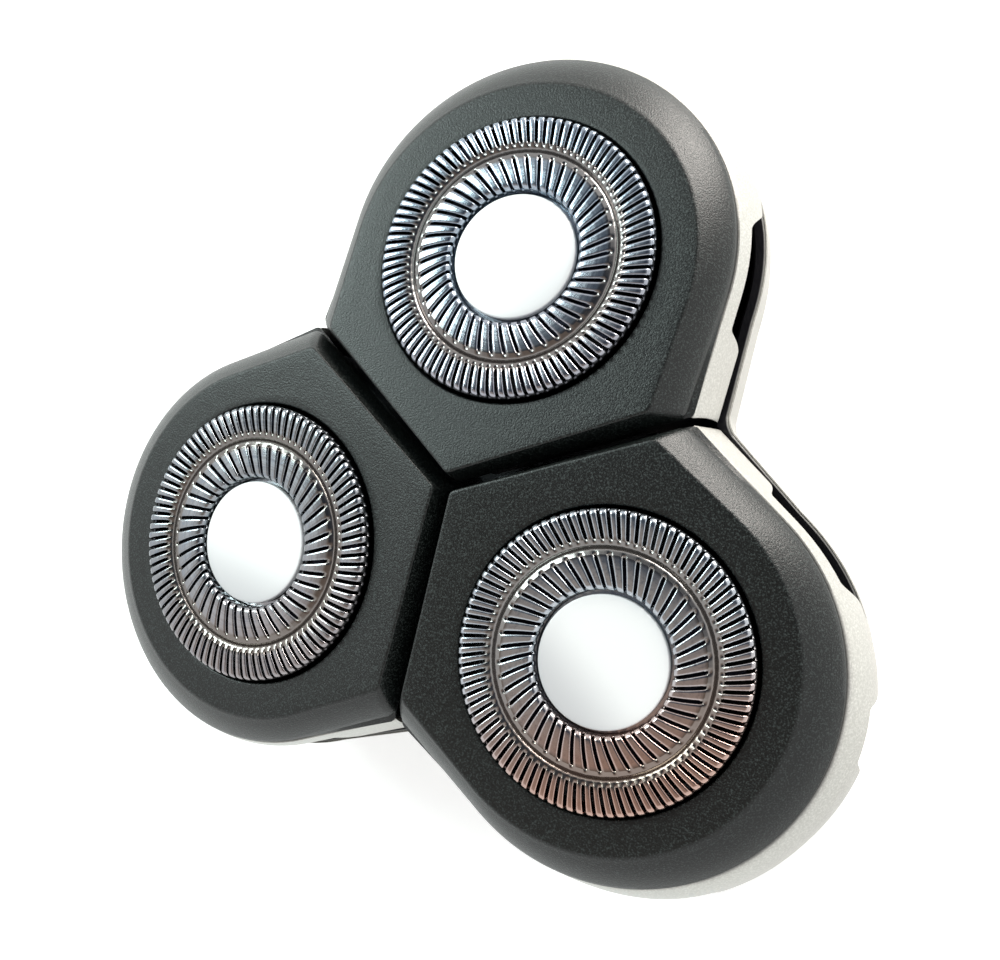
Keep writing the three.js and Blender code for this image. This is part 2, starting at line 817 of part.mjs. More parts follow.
function drivenGear() {
  const wheel = prism(gearOutline(drivenTeeth, Math.PI + Math.PI / drivenTeeth), gearLow, gearHigh);
  const hub = disc(gearHubRadius, gearLow, gearCoverHigh + gearHubHeight, roundSides);
  const journal = disc(journalRadius, gearLow - journalLength, gearLow + seatGap, smallSides);
  const boreRadius = spindleRadius + runningGap;
  const bore = disc(boreRadius, gearLow, gearCoverHigh + gearHubHeight + cutOverrun, hexSides);
  const made = joined([wheel, hub, journal]).subtract(bore);
  return moved(made, new THREE.Matrix4().makeTranslation(spindleReach, 0, 0));
}

// One hinge ear: an upright plate with a rounded head, standing on the gear cover
function earPlate(crosswise) {
  const foot = gearCoverHigh - gearCoverThickness / 2;
  const shape = new THREE.Shape();
  shape.moveTo(hingeRadial - knuckleRadius, foot);
  shape.lineTo(hingeRadial + knuckleRadius, foot);
  for (let i = 0; i <= smallSides / 2; i += 1) {
    const angle = (2 * Math.PI * i) / smallSides;
    const across = knuckleRadius * Math.cos(angle);
    shape.lineTo(hingeRadial + across, hingeHeight + knuckleRadius * Math.sin(angle));
  }
  const geometry = new THREE.ExtrudeGeometry(shape, { depth: earThickness, bevelEnabled: false });
  return solid(geometry.rotateX(Math.PI / 2).translate(0, crosswise + earThickness / 2, 0));
}

function gearCover() {
  const middle = disc(gearCoverRadius, gearCoverLow, gearCoverHigh, roundSides);
  const atGear = new THREE.Matrix4().makeTranslation(spindleReach, 0, 0);
  const below = gearCoverLow - cutOverrun;
  const above = gearCoverHigh + cutOverrun;
  const lobe = moved(disc(gearCoverLobeRadius, gearCoverLow, gearCoverHigh, roundSides), atGear);
  const gearHole = moved(disc(clearOf(gearHubRadius, roundSides), below, above, roundSides), atGear);
  const earMiddle = knuckleWidth / 2 + seatGap + earThickness / 2;
  const ear = (side) => earPlate(side * earMiddle);
  const pinHoleLength = 2 * (earMiddle + earThickness);
  const pinHole = crossBar(
    clearOf(hingePinRadius, smallSides),
    pinHoleLength,
    hingeRadial,
    hingeHeight,
    smallSides,
  );
  const ears = joined([ear(1), ear(-1)]).subtract(pinHole);
  const screwHole = moved(
    disc(screwRadius + runningGap, below, above, smallSides),
    new THREE.Matrix4().makeTranslation(bossReach, 0, 0),
  );
  const axleHole = disc(axleRadius + runningGap, below, above, smallSides);
  return middle
    .add(spread(lobe, podCount, firstPodTurn))
    .add(spread(ears, podCount, firstPodTurn))
    .subtract(spread(gearHole, podCount, firstPodTurn))
    .subtract(spread(screwHole, podCount, firstPodTurn + Math.PI / podCount))
    .subtract(axleHole);
}

function coverScrew() {
  const head = disc(screwHeadRadius, gearCoverHigh, gearCoverHigh + screwHeadHeight, smallSides);
  const slotFloor = gearCoverHigh + screwHeadHeight / 2;
  const shank = disc(screwRadius, gearCoverHigh - screwLength, slotFloor, smallSides);
  const slot = bar(
    [-screwHeadRadius, 0],
    [screwHeadRadius, 0],
    screwSlotWidth,
    slotFloor,
    slotFloor + cutOverrun,
  );
  return moved(head.add(shank).subtract(slot), new THREE.Matrix4().makeTranslation(bossReach, 0, 0));
}

function gearAxle() {
  const pin = disc(axleRadius, 0, gearCoverHigh + axleHeadHeight, smallSides);
  return pin.add(disc(axleHeadRadius, gearCoverHigh, gearCoverHigh + axleHeadHeight, smallSides));
}

function couplingNeck() {
  const inner = neckRadius - neckWall;
  const flangeLow = bowlBottomHeight - neckFlangeHeight;
  const grooveLow = (flangeLow - sealRingWidth) / 2;
  const grooveHigh = grooveLow + sealRingWidth;
  const body = revolve(
    [
      [inner, 0],
      [neckRadius, 0],
      [neckRadius, grooveLow],
      [neckRadius - sealRingOut, grooveLow],
      [neckRadius - sealRingOut, grooveHigh],
      [neckRadius, grooveHigh],
      [neckRadius, flangeLow],
      [neckFlangeRadius, flangeLow],
      [neckFlangeRadius, bowlBottomHeight],
      [inner, bowlBottomHeight],
    ],
    holeSides,
  );
  const lug = bar(
    [inner - lugReach, 0],
    [inner + neckWall / 4, 0],
    lugWidth,
    bowlBottomHeight / 2 - lugHeight,
    bowlBottomHeight / 2,
  );
  return body.add(spread(lug, neckLugs, firstPodTurn));
}

function neckSeal() {
  const flangeLow = bowlBottomHeight - neckFlangeHeight;
  const middle = flangeLow / 2;
  const half = sealRingWidth / 2 - runningGap;
  const inner = neckRadius - sealRingOut + runningGap;
  const outer = neckRadius + sealRingOut / 2;
  return revolve(
    [
      [inner, middle - half],
      [outer, middle - half],
      [outer, middle + half],
      [inner, middle + half],
    ],
    holeSides,
  );
}

// A named mesh with its own material
function piece(name, geometry, { color, roughness, metalness }) {
  const material = new THREE.MeshStandardMaterial({ color, roughness, metalness, flatShading: true });
  const mesh = new THREE.Mesh(geometry, material);
  mesh.name = name;
  return mesh;
}

const unit = new THREE.Group();

// The base and what it carries
unit.add(
  piece("base_bowl", surface(baseBowl()), silverPaint),
  piece("gear_cover", surface(gearCover()), greyPlastic),
  piece("gear_axle", surface(gearAxle()), bladeSteel),
  piece("coupling_neck", surface(couplingNeck()), darkPlastic),
  piece("neck_seal", surface(neckSeal()), rubber),
  piece("drive_gear", surface(driveGear()), gearPlastic),
);

// Pieces that stand upright under each pod
const uprightPieces = [
  ["driven_gear", surface(drivenGear()), gearPlastic],
  ["hinge_pin", surface(hingePin()), bladeSteel],
  ["pod_spring", surface(podSpring()), springSteel],
];

// Pieces on the spindle's own axis
const spindlePieces = [
  ["spindle", surface(spindle()), darkPlastic],
  ["spindle_spring", surface(spindleSpring()), springSteel],
];

// Pieces in the pod's splayed frame
const podPieces = [
  ["pod_tray", surface(podTray()), darkPlastic],
  ["pod_shell", surface(podShell()), silverPaint],
  ["pod_cover", surface(podCover()), satinBlack],
  ["retaining_frame", surface(retainingFrame()), greyPlastic],
  ["float_spring", surface(floatSpring()), springSteel],
  ["spindle_seal", surface(spindleSeal()), rubber],
  ["guard", surface(guard()), polishedSteel],
  ["centre_cap", surface(centreCap()), mirrorCap],
  ["cutter", surface(cutter()), bladeSteel],
];

const screwGeometry = surface(coverScrew());
podTurns.forEach((turn, i) => {
  const station = new THREE.Group();
  station.rotation.z = turn;
  const pod = new THREE.Group();
  pod.position.set(podAxisRadius, 0, flatTopHeight);
  pod.rotation.y = splay;
  const spindleLine = new THREE.Group();
  spindleLine.position.x = spindleReach;
  const named = ([name, geometry, look]) => piece(`${name}_${i + 1}`, geometry, look);
  uprightPieces.forEach((entry) => station.add(named(entry)));
  spindlePieces.forEach((entry) => spindleLine.add(named(entry)));
  podPieces.forEach((entry) => pod.add(named(entry)));
  station.add(pod, spindleLine);
  const screwStation = new THREE.Group();
  screwStation.rotation.z = turn + Math.PI / podCount;
  screwStation.add(piece(`cover_screw_${i + 1}`, screwGeometry, bladeSteel));
  unit.add(station, screwStation);
});

export default unit;
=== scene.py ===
"""Looks of a detached three-head rotary shaving unit, modelled round its construction frame.

Sizes are in millimetres in the classes and turned to metres where points are placed.
"""

import logging
import math
from dataclasses import asdict, dataclass, field, replace
from enum import Enum

import bpy
import numpy as np
from mathutils import Matrix, Vector


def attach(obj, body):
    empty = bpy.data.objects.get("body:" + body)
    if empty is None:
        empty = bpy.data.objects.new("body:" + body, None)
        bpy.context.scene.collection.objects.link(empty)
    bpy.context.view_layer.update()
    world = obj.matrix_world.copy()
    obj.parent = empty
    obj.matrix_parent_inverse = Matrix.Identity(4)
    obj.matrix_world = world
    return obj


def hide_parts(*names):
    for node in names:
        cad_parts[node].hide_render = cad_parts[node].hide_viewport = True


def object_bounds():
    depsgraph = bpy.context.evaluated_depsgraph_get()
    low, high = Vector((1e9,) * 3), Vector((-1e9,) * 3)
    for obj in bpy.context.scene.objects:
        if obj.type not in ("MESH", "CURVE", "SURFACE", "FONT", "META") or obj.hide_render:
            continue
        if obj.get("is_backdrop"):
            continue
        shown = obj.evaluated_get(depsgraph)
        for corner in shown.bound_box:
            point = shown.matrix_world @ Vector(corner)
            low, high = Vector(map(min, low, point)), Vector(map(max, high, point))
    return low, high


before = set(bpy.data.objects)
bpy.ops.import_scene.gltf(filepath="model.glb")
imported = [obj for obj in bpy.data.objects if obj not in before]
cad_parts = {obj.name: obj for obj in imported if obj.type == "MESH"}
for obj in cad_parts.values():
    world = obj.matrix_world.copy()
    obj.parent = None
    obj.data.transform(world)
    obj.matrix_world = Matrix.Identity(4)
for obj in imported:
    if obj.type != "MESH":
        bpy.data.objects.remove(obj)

LOG = logging.getLogger("shaving_unit")
MM = 0.001
POD_COUNT = 3
Tree = bpy.types.NodeTree
Socket = bpy.types.NodeSocket


class Slot(Enum):
    """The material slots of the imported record."""

    SILVER = "silver_paint"
    BLACK = "satin_black"
    DARK = "dark_plastic"
    GREY = "grey_plastic"
    GEAR = "gear_plastic"
    GUARD = "guard_steel"
    BLADE = "blade_steel"
    CAP = "polished_cap"
    RUBBER = "rubber"
    SPRING = "spring_steel"


# Places of the pods


@dataclass(frozen=True)
class Station:
    """One pod's place: its turn round the unit's axis, and how its own axis leans outwards."""

    number: int
    splay: float = math.radians(5.86)
    axis_radius: float = 17.0036
    flat_top: float = 20.0025
    hinge_reach: float = 12.0056
    tilt: float = math.radians(4)

    @property
    def turn(self) -> float:
        """Azimuth of the pod, in radians from +X."""
        return math.pi / 2 + 2 * math.pi * (self.number - 1) / POD_COUNT

    def to_unit(self, points: np.ndarray) -> np.ndarray:
        """Carry points from the pod's own frame to the unit's frame.

        The points are turned about Y by the splay, moved to the pod's centre, and turned about Z.

        Args:
            points: An array whose last axis is x, y, z in millimetres.

        Returns:
            The points in metres in the unit's frame.
        """
        x, y, z = np.moveaxis(np.asarray(points, float), -1, 0)
        out = x * math.cos(self.splay) + z * math.sin(self.splay) + self.axis_radius
        up = -x * math.sin(self.splay) + z * math.cos(self.splay) + self.flat_top
        cosine, sine = math.cos(self.turn), math.sin(self.turn)
        return np.stack([out * cosine - y * sine, out * sine + y * cosine, up], axis=-1) * MM

    def matrix(self) -> Matrix:
        """The pod's own frame as a matrix in metres."""
        place = Matrix.Translation((self.axis_radius * MM, 0, self.flat_top * MM))
        return Matrix.Rotation(self.turn, 4, "Z") @ place @ Matrix.Rotation(self.splay, 4, "Y")


STATIONS = tuple(Station(number) for number in range(1, POD_COUNT + 1))


# Curves and surfaces


def unit_vector(vector: np.ndarray) -> np.ndarray:
    """The vector divided by its length."""
    return vector / np.linalg.norm(vector)


def fillet(
    before: np.ndarray, corner: np.ndarray, after: np.ndarray, radius: float, count: int
) -> np.ndarray:
    """Round a corner by the arc that touches both edges, with points at even turns.

    Args:
        before: A point on the edge that arrives.
        corner: The sharp corner.
        after: A point on the edge that leaves.
        radius: The arc's radius.
        count: How many points the arc gets.

    Returns:
        The arc's points, from the edge that arrives to the one that leaves.
    """
    arriving, leaving = unit_vector(before - corner), unit_vector(after - corner)
    half = 0.5 * math.acos(float(np.clip(arriving @ leaving, -1, 1)))
    if radius <= 0 or half > math.pi / 2 - 1e-3:
        return np.repeat(corner[None], count, axis=0)
    centre = corner + unit_vector(arriving + leaving) * radius / math.sin(half)
    start = corner + arriving * radius / math.tan(half) - centre
    first = math.atan2(start[1], start[0])
    turning = arriving[0] * leaving[1] - arriving[1] * leaving[0]
    sweep = -math.copysign(math.pi - 2 * half, turning)
    angles = first + np.linspace(0, 1, count) * sweep
    return centre + radius * np.stack([np.cos(angles), np.sin(angles)], axis=-1)


def rounded_path(
    corners: list[tuple[float, float, float]], closed: bool, arc: int = 5, step: float = 0.0
) -> np.ndarray:
    """Carry a line through corners, each rounded by its own radius.

    Args:
        corners: Rows of x, y and corner radius in millimetres.
        closed: Whether the last corner joins the first.
        arc: Points on each rounded corner.
        step: The longest straight stretch, or 0 to leave stretches whole.

    Returns:
        The path's points.
    """
    spots = np.array([row[:2] for row in corners], float)
    total = len(spots)
    stretches = []
    for place, (_, _, radius) in enumerate(corners):
        at_end = not closed and place in (0, total - 1)
        if at_end or radius <= 0:
            stretches.append(spots[place][None])
        else:
            after = spots[(place + 1) % total]
            stretches.append(fillet(spots[place - 1], spots[place], after, radius, arc))
    path = np.concatenate(stretches)
    if step <= 0:
        return path
    ends = np.concatenate([path[1:], path[:1]]) if closed else path[1:]
    parts = []
    for start, end in zip(path, ends):
        pieces = max(1, math.ceil(np.linalg.norm(end - start) / step))
        parts.append(start + (end - start) * np.linspace(0, 1, pieces, endpoint=False)[:, None])
    return np.concatenate(parts if closed else parts + [path[-1:]])


def grid_quads(rows: int, columns: int, wrap_rows: bool) -> np.ndarray:
    """Number the corners of every cell of a grid of points, each of whose rows is a closed line.

    Args:
        rows: Rows of points.
        columns: Points in a row.
        wrap_rows: Whether the last row joins the first.

    Returns:
        An array of cell rows by cell columns by 4 point numbers.
    """
    cell_rows = np.arange(rows if wrap_rows else rows - 1)
    row, column = np.meshgrid(cell_rows, np.arange(columns), indexing="ij")
    start, below = row * columns, (row + 1) % rows * columns
    beside = (column + 1) % columns
    return np.stack([start + column, start + beside, below + beside, below + column], axis=-1)


def signed_volume(points: np.ndarray, quads: np.ndarray) -> float:
    """Six times the volume that the quads enclose, below zero where they face inwards."""
    a, b, c, d = (points[quads[:, corner]] for corner in range(4))
    return float(np.sum(a * np.cross(b, c)) + np.sum(a * np.cross(c, d)))


@dataclass
class Surface:
    """Points and faces that become one Blender mesh, creased where it turns by crease degrees."""

    points: np.ndarray
    quads: np.ndarray
    lids: list[list[int]] = field(default_factory=list)
    layers: dict[str, np.ndarray] = field(default_factory=dict)
    crease: float = 40.0

    @classmethod
    def grid(cls, points: np.ndarray, lids: bool = False) -> "Surface":
        """Skin a grid of points, each of whose rows is a closed line.

        Args:
            points: Rows by columns by 3, in metres.
            lids: Whether a face closes the first and the last row, which else join each other.

        Returns:
            The closed surface, with its faces outwards.
        """
        rows, columns = points.shape[:2]
        made = cls(points.reshape(-1, 3), grid_quads(rows, columns, not lids).reshape(-1, 4))
        if lids:
            made.lids = [list(range(columns))[::-1], list(range((rows - 1) * columns, rows * columns))]
        return made.outwards()

    def outwards(self) -> "Surface":
        """Turn every face round where the whole faces inwards."""
        middle = self.points.mean(axis=0)
        if signed_volume(self.points - middle, self.quads) < 0:
            self.quads = self.quads[:, ::-1]
            self.lids = [lid[::-1] for lid in self.lids]
        return self

    def joined(self, other: "Surface") -> "Surface":
        """This surface and another as one set of faces."""
        shift = len(self.points)
        return Surface(
            np.concatenate([self.points, other.points]),
            np.concatenate([self.quads, other.quads + shift]),
            self.lids + [[corner + shift for corner in lid] for lid in other.lids],
            {name: np.concatenate([values, other.layers[name]]) for name, values in self.layers.items()},
        )

    def mesh_object(self, name: str) -> bpy.types.Object:
        """Write the surface into a new object at the origin, with smooth faces and sharp creases."""
        mesh = bpy.data.meshes.new(name)
        mesh.from_pydata(self.points.tolist(), [], self.quads.tolist() + self.lids)
        mesh.polygons.foreach_set("use_smooth", np.ones(len(mesh.polygons), bool))
        mesh.set_sharp_from_angle(angle=math.radians(self.crease))
        for layer, values in self.layers.items():
            mesh.attributes.new(layer, "FLOAT", "POINT").data.foreach_set("value", np.ravel(values))
        mesh.update()
        made = bpy.data.objects.new(name, mesh)
        bpy.context.scene.collection.objects.link(made)
        return made


def polar(radius: np.ndarray | float, turns: np.ndarray, height: np.ndarray | float) -> np.ndarray:
    """Points at the radius times the cosine and sine of their turn, and at their height."""
    return np.stack([radius * np.cos(turns), radius * np.sin(turns), height + 0 * turns], axis=-1)


def revolved(profile: np.ndarray, sides: int) -> np.ndarray:
    """Turn a profile, rows of radius and height, about the axis: rows by sides by 3."""
    return polar(profile[:, :1], np.arange(sides) * 2 * math.pi / sides, profile[:, 1:])


# Levels of a pod

LOBE_STEPS = 73
CORNER_STEPS = 9
APEX_STEPS = 7
SIDE_STEPS = 11
LEAST_ROUND = 0.1


@dataclass(frozen=True)
class Level:
    """One level of a pod in millimetres: a lobe, two flanks, two corners, and two sides to an apex."""

    length: float
    width: float
    corner: float
    side_gap: float
    shift: float = 1.25
    power: float = 2.0
    corner_round: float = 0.7
    apex_round: float = 0.5
    taper: float = 0.0

    def mixed(self, other: "Level", share: float) -> "Level":
        """The level part way to another, size by size."""
        ours, theirs = asdict(self), asdict(other)
        return Level(**{name: size + (theirs[name] - size) * share for name, size in ours.items()})

    def inset(self, wall: float) -> "Level":
        """The level drawn in by a wall on every side."""
        drawn = {name: getattr(self, name) - wall for name in ("length", "width", "corner")}
        for name in ("corner_round", "apex_round"):
            drawn[name] = max(getattr(self, name) - wall, LEAST_ROUND)
        return replace(self, side_gap=self.side_gap + wall, **drawn)

    def lobe(self, count: int) -> np.ndarray:
        """The round end: a superellipse, whose x and y are powers of the cosine and sine of an even turn."""
        turn = np.linspace(-math.pi / 2, math.pi / 2, count)
        along = np.clip(np.cos(turn), 0, None) ** (2 / self.power)
        across = np.sign(np.sin(turn)) * np.abs(np.sin(turn)) ** (2 / self.power)
        return np.stack([self.shift + self.length * along, self.width * across], axis=-1)

    def points(self, depth: float) -> np.ndarray:
        """Walk round the level once.

        Args:
            depth: How far the level lies under the flat top, which moves its apex.

        Returns:
            A closed line of x, y points that starts at the lobe's end on the -y flank.
        """
        station = STATIONS[0]
        slope = math.tan(math.pi / POD_COUNT) * math.cos(station.splay)
        axis_x = -(station.axis_radius - depth * math.sin(station.splay)) / math.cos(station.splay)
        apex = np.array([axis_x + self.side_gap / math.sin(math.pi / POD_COUNT), 0.0])
        corner = np.array([apex[0] + self.corner / slope + self.taper, self.corner])
        lobe_end = np.array([self.shift, self.width])
        mirror = np.array([1.0, -1.0])
        turned = fillet(lobe_end, corner, apex, self.corner_round, CORNER_STEPS)
        tip = fillet(corner, apex, corner * mirror, self.apex_round, APEX_STEPS)
        share = np.linspace(0, 1, SIDE_STEPS + 2)[1:-1, None]
        flank = lobe_end + (turned[0] - lobe_end) * share
        side = turned[-1] + (tip[0] - turned[-1]) * share
        upper = np.concatenate([flank, turned, side])
        lower = (upper * mirror)[::-1]
        return np.concatenate([self.lobe(LOBE_STEPS), upper, tip, lower])


COVER_FLAT = Level(13.4, 13.4, 13.15, 0.7, shift=0.0, corner_round=0.9, taper=0.3)
COVER_EDGE = Level(14.9, 15.1, 15.0, 0.3, corner_round=1.0)
COVER_FOOT = Level(14.92, 15.12, 15.45, 0.3, corner_round=0.6)
SHELL_TOP = Level(15.05, 15.25, 15.35, 0.22, corner_round=0.3)
SHELL_RIM = Level(16.7, 15.75, 15.95, 0.22, power=2.15, corner_round=0.3)
TRAY = Level(13.7, 13.0, 13.8, 1.2)
BOWL = Level(15.7, 15.9, 16.5, -0.5, power=2.15, corner_round=0.4)


def level_row(level: Level, depth: float) -> np.ndarray:
    """A level's outline as x, y, z points in the pod's frame."""
    outline = level.points(depth)
    return np.concatenate([outline, np.full((len(outline), 1), -depth)], axis=1)


def circle_row(radius: float, depth: float) -> np.ndarray:
    """A circle round the pod's axis, with a point facing each point of the flat top's outline."""
    outline = COVER_FLAT.points(0.0)
    return polar(radius, np.arctan2(outline[:, 1], outline[:, 0]), -depth)


# Finishes


def linear(hex_colour: str) -> tuple[float, float, float, float]:
    """An sRGB hex colour as linear red, green, blue and full alpha."""
    parts = np.array([int(hex_colour[place : place + 2], 16) for place in (1, 3, 5)]) / 255
    shares = np.where(parts <= 0.04045, parts / 12.92, ((parts + 0.055) / 1.055) ** 2.4)
    return (*[float(share) for share in shares], 1.0)


def add_node(
    tree: Tree, kind: str, inputs: dict | None = None, settings: dict | None = None
) -> bpy.types.Node:
    """Add a shader node.

    Args:
        tree: The material's node tree.
        kind: The node's type.
        inputs: Values or output sockets by input name or number.
        settings: Values by the node's own property name.

    Returns:
        The node.
    """
    node = tree.nodes.new(kind)
    for name, value in (settings or {}).items():
        setattr(node, name, value)
    for name, value in (inputs or {}).items():
        if isinstance(value, Socket):
            tree.links.new(value, node.inputs[name])
        else:
            node.inputs[name].default_value = value
    return node


def object_place(tree: Tree) -> Socket:
    """Where a point lies in the piece's own space, in metres."""
    return add_node(tree, "ShaderNodeTexCoord").outputs["Object"]


def layer_value(tree: Tree, name: str) -> Socket:
    """What a layer of the mesh says at a point."""
    return add_node(tree, "ShaderNodeAttribute", settings={"attribute_name": name}).outputs["Fac"]


def noise(tree: Tree, where: Socket, cell_mm: float, detail: float = 2.0, rough: float = 0.6) -> Socket:
    """A noise between 0 and 1 whose cells are cell_mm wide."""
    inputs = {"Vector": where, "Scale": 1 / (cell_mm * MM), "Detail": detail, "Roughness": rough}
    return add_node(tree, "ShaderNodeTexNoise", inputs).outputs[0]


def ranged(
    tree: Tree, value: Socket, start: float, end: float, most: float = 1.0, least: float = 0.0,
    soft: bool = False,
) -> Socket:
    """Carry a value from one stretch to another and hold it at the ends.

    Args:
        tree: The material's node tree.
        value: The value.
        start: Where the result is least.
        end: Where the result is most.
        most: The result at the end.
        least: The result at the start.
        soft: Whether the way between is S-shaped.

    Returns:
        The result.
    """
    levels = {"Value": value, "From Min": start, "From Max": end, "To Min": least, "To Max": most}
    settings = {"interpolation_type": "SMOOTHSTEP" if soft else "LINEAR"}
    return add_node(tree, "ShaderNodeMapRange", levels, settings).outputs[0]


def mixed_colour(tree: Tree, share: Socket, below: tuple | Socket, above: tuple | Socket) -> Socket:
    """Two colours mixed, with the share of the second one given."""
    return add_node(tree, "ShaderNodeMix", {0: share, 6: below, 7: above}, {"data_type": "RGBA"}).outputs[2]


def blended(tree: Tree, shader: bpy.types.Node, share: Socket, colour: str) -> None:
    """Mix a share of a further colour over what a shader's base colour already reads."""
    base = shader.inputs["Base Color"]
    tree.links.new(mixed_colour(tree, share, base.links[0].from_socket, linear(colour)), base)


def new_material(name: str) -> tuple[bpy.types.Material, Tree, bpy.types.Node]:
    """A new material with its node tree and its shader."""
    made = bpy.data.materials.new(name)
    made.use_nodes = True
    return made, made.node_tree, made.node_tree.nodes["Principled BSDF"]


@dataclass(frozen=True)
class Finish:
    """A surface of one common material with a fine grain.

    The grain is a noise whose cells are grain_mm wide. It shifts the colour towards the fleck colour,
    spreads the roughness about its middle and raises the surface by relief_mm.
    """

    name: str
    colour: str
    fleck: str
    slot: Slot
    metallic: float = 0.0
    roughness: float = 0.5
    roughness_spread: float = 0.08
    grain_mm: float = 0.16
    grain_low: float = 0.3
    grain_high: float = 0.7
    fleck_share: float = 0.35
    fleck_start: float = 0.42
    fleck_full: float = 0.72
    relief_mm: float = 0.004

    def coordinates(self, tree: Tree) -> Socket:
        """Where the grain is read."""
        return object_place(tree)

    def over(self, tree: Tree, shader: bpy.types.Node) -> None:
        """What lies over the plain finish, which is nothing here."""

    def material(self) -> bpy.types.Material:
        """Build the Blender material, whose nodes read Object coordinates."""
        made, tree, shader = new_material(self.name)
        grain = noise(tree, self.coordinates(tree), self.grain_mm)
        flecks = ranged(tree, grain, self.fleck_start, self.fleck_full, self.fleck_share)
        low, high = self.roughness - self.roughness_spread, self.roughness + self.roughness_spread
        relief = {"Height": grain, "Distance": self.relief_mm * MM, "Strength": 1.0}
        read = {
            "Base Color": mixed_colour(tree, flecks, linear(self.colour), linear(self.fleck)),
            "Roughness": ranged(tree, grain, self.grain_low, self.grain_high, high, low),
            "Normal": add_node(tree, "ShaderNodeBump", relief).outputs[0],
        }
        for name, socket in read.items():
            tree.links.new(socket, shader.inputs[name])
        shader.inputs["Metallic"].default_value = self.metallic
        self.over(tree, shader)
        return made


@dataclass(frozen=True)
class SprayedLacquer(Finish):
    """Lacquer sprayed on from outside: the inner faces, marked by the layer "bare", stay bare plastic."""

    bare: str = "#07070d"

    def over(self, tree: Tree, shader: bpy.types.Node) -> None:
        """Let the bare plastic show where the layer says."""
        layer = layer_value(tree, "bare")
        blended(tree, shader, layer, self.bare)
        tree.links.new(ranged(tree, layer, 0.0, 1.0, 0.0, self.metallic), shader.inputs["Metallic"])


@dataclass(frozen=True)
class TurnedMetal(Finish):
    """Metal worked on a lathe: its grain runs in rings round the pod's own axis."""

    station: Station = STATIONS[0]

    def own_place(self, tree: Tree) -> Socket:
        """Places in the pod's own frame."""
        place = self.station.matrix()
        inputs = {"Vector": object_place(tree), "Location": place.to_translation()}
        inputs["Rotation"] = place.to_euler()
        return add_node(tree, "ShaderNodeMapping", inputs, {"vector_type": "TEXTURE"}).outputs[0]

    def coordinates(self, tree: Tree) -> Socket:
        """Rings: the distance from the pod's axis, and the height along it."""
        parts = add_node(tree, "ShaderNodeSeparateXYZ", {"Vector": self.own_place(tree)})
        flat = add_node(tree, "ShaderNodeCombineXYZ", {"X": parts.outputs[0], "Y": parts.outputs[1]})
        length = add_node(tree, "ShaderNodeVectorMath", {0: flat.outputs[0]}, {"operation": "LENGTH"})
        inputs = {"X": length.outputs["Value"], "Y": parts.outputs[2]}
        return add_node(tree, "ShaderNodeCombineXYZ", inputs).outputs[0]

    def along(self, tree: Tree, heading: float, run_mm: tuple[float, float], most: float) -> Socket:
        """A share that grows across the pod.

        Args:
            tree: The material's node tree.
            heading: The direction in which it grows, in degrees from the unit's +X.
            run_mm: Where it is nothing and where it is at its most, from the pod's axis.
            most: The share at its most.

        Returns:
            The share.
        """
        turn = math.radians(heading) - self.station.turn
        inputs = {0: self.own_place(tree), 1: (math.cos(turn), math.sin(turn), 0.0)}
        reach = add_node(tree, "ShaderNodeVectorMath", inputs, {"operation": "DOT_PRODUCT"}).outputs["Value"]
        start, end = run_mm
        return ranged(tree, reach, start * MM, end * MM, most, soft=True)


@dataclass(frozen=True)
class GuardSteel(TurnedMetal):
    """Polished steel of a guard, with rubbed bar tops, a painted warm reflection to one side and a
    skirt painted dark as shade.

    The layer "groove" marks the pressed ring between the tracks, which is duller and warmer. The layer
    "skirt" marks the wall and flange under the shoulder, which are painted near-black to stand in for
    the shade in the gap round the guard. The tint is a painted warm reflection that grows towards one
    side, in the heading given.
    """

    rubbed: str = "#8795a6"
    rub_mm: float = 0.35
    rub_detail: float = 4.0
    rub_rough: float = 0.7
    rub_start: float = 0.5
    rub_full: float = 0.68
    rub_most: float = 0.55
    groove: str = "#7d766f"
    groove_most: float = 0.8
    # Colour of the painted shade on the skirt.
    skirt_shade: str = "#0d0c13"
    # The tint and the three fields after it paint a warm reflection on one side of the guard.
    tint: str = "#cf9f86"
    reflection_heading: float = -60.0
    reflection_run: tuple[float, float] = (-2.0, 9.0)
    reflection_most: float = 0.3

    def over(self, tree: Tree, shader: bpy.types.Node) -> None:
        """Add the rub marks, the painted warm reflection, the dull groove and the painted shade on the skirt.
        """
        marks = noise(tree, self.own_place(tree), self.rub_mm, self.rub_detail, self.rub_rough)
        # Painted reflection: a warm colour that grows towards one side of the guard.
        tint = self.along(tree, self.reflection_heading, self.reflection_run, self.reflection_most)
        groove = ranged(tree, layer_value(tree, "groove"), 0.0, 1.0, self.groove_most)
        marks = ranged(tree, marks, self.rub_start, self.rub_full, self.rub_most)
        blended(tree, shader, marks, self.rubbed)
        blended(tree, shader, tint, self.tint)
        blended(tree, shader, groove, self.groove)
        # Painted shade: the skirt under the shoulder turns near-black, as the gap round the guard lies in
        # shade.
        blended(tree, shader, layer_value(tree, "skirt"), self.skirt_shade)


@dataclass(frozen=True)
class CapMetal(TurnedMetal):
    """Satin-white plated disc with painted shade that falls softly to one side."""

    # Colour of the painted shade.
    shaded: str = "#cfcfd1"
    shade_heading: float = -60.0
    shade_run: tuple[float, float] = (-0.6, 4.6)

    def over(self, tree: Tree, shader: bpy.types.Node) -> None:
        """Paint the shade that falls to one side."""
        blended(tree, shader, self.along(tree, self.shade_heading, self.shade_run, 1.0), self.shaded)


# Satin ABS, moulded in a finely eroded tool and sprayed with pearl: dark green-grey with a fine sparkle
COVER_ABS = Finish(
    "satin_abs_pearl", "#060a09", "#4c5654", Slot.BLACK, roughness=0.38, grain_mm=0.13, fleck_share=0.4,
    fleck_start=0.52, fleck_full=0.66, relief_mm=0.032,
)
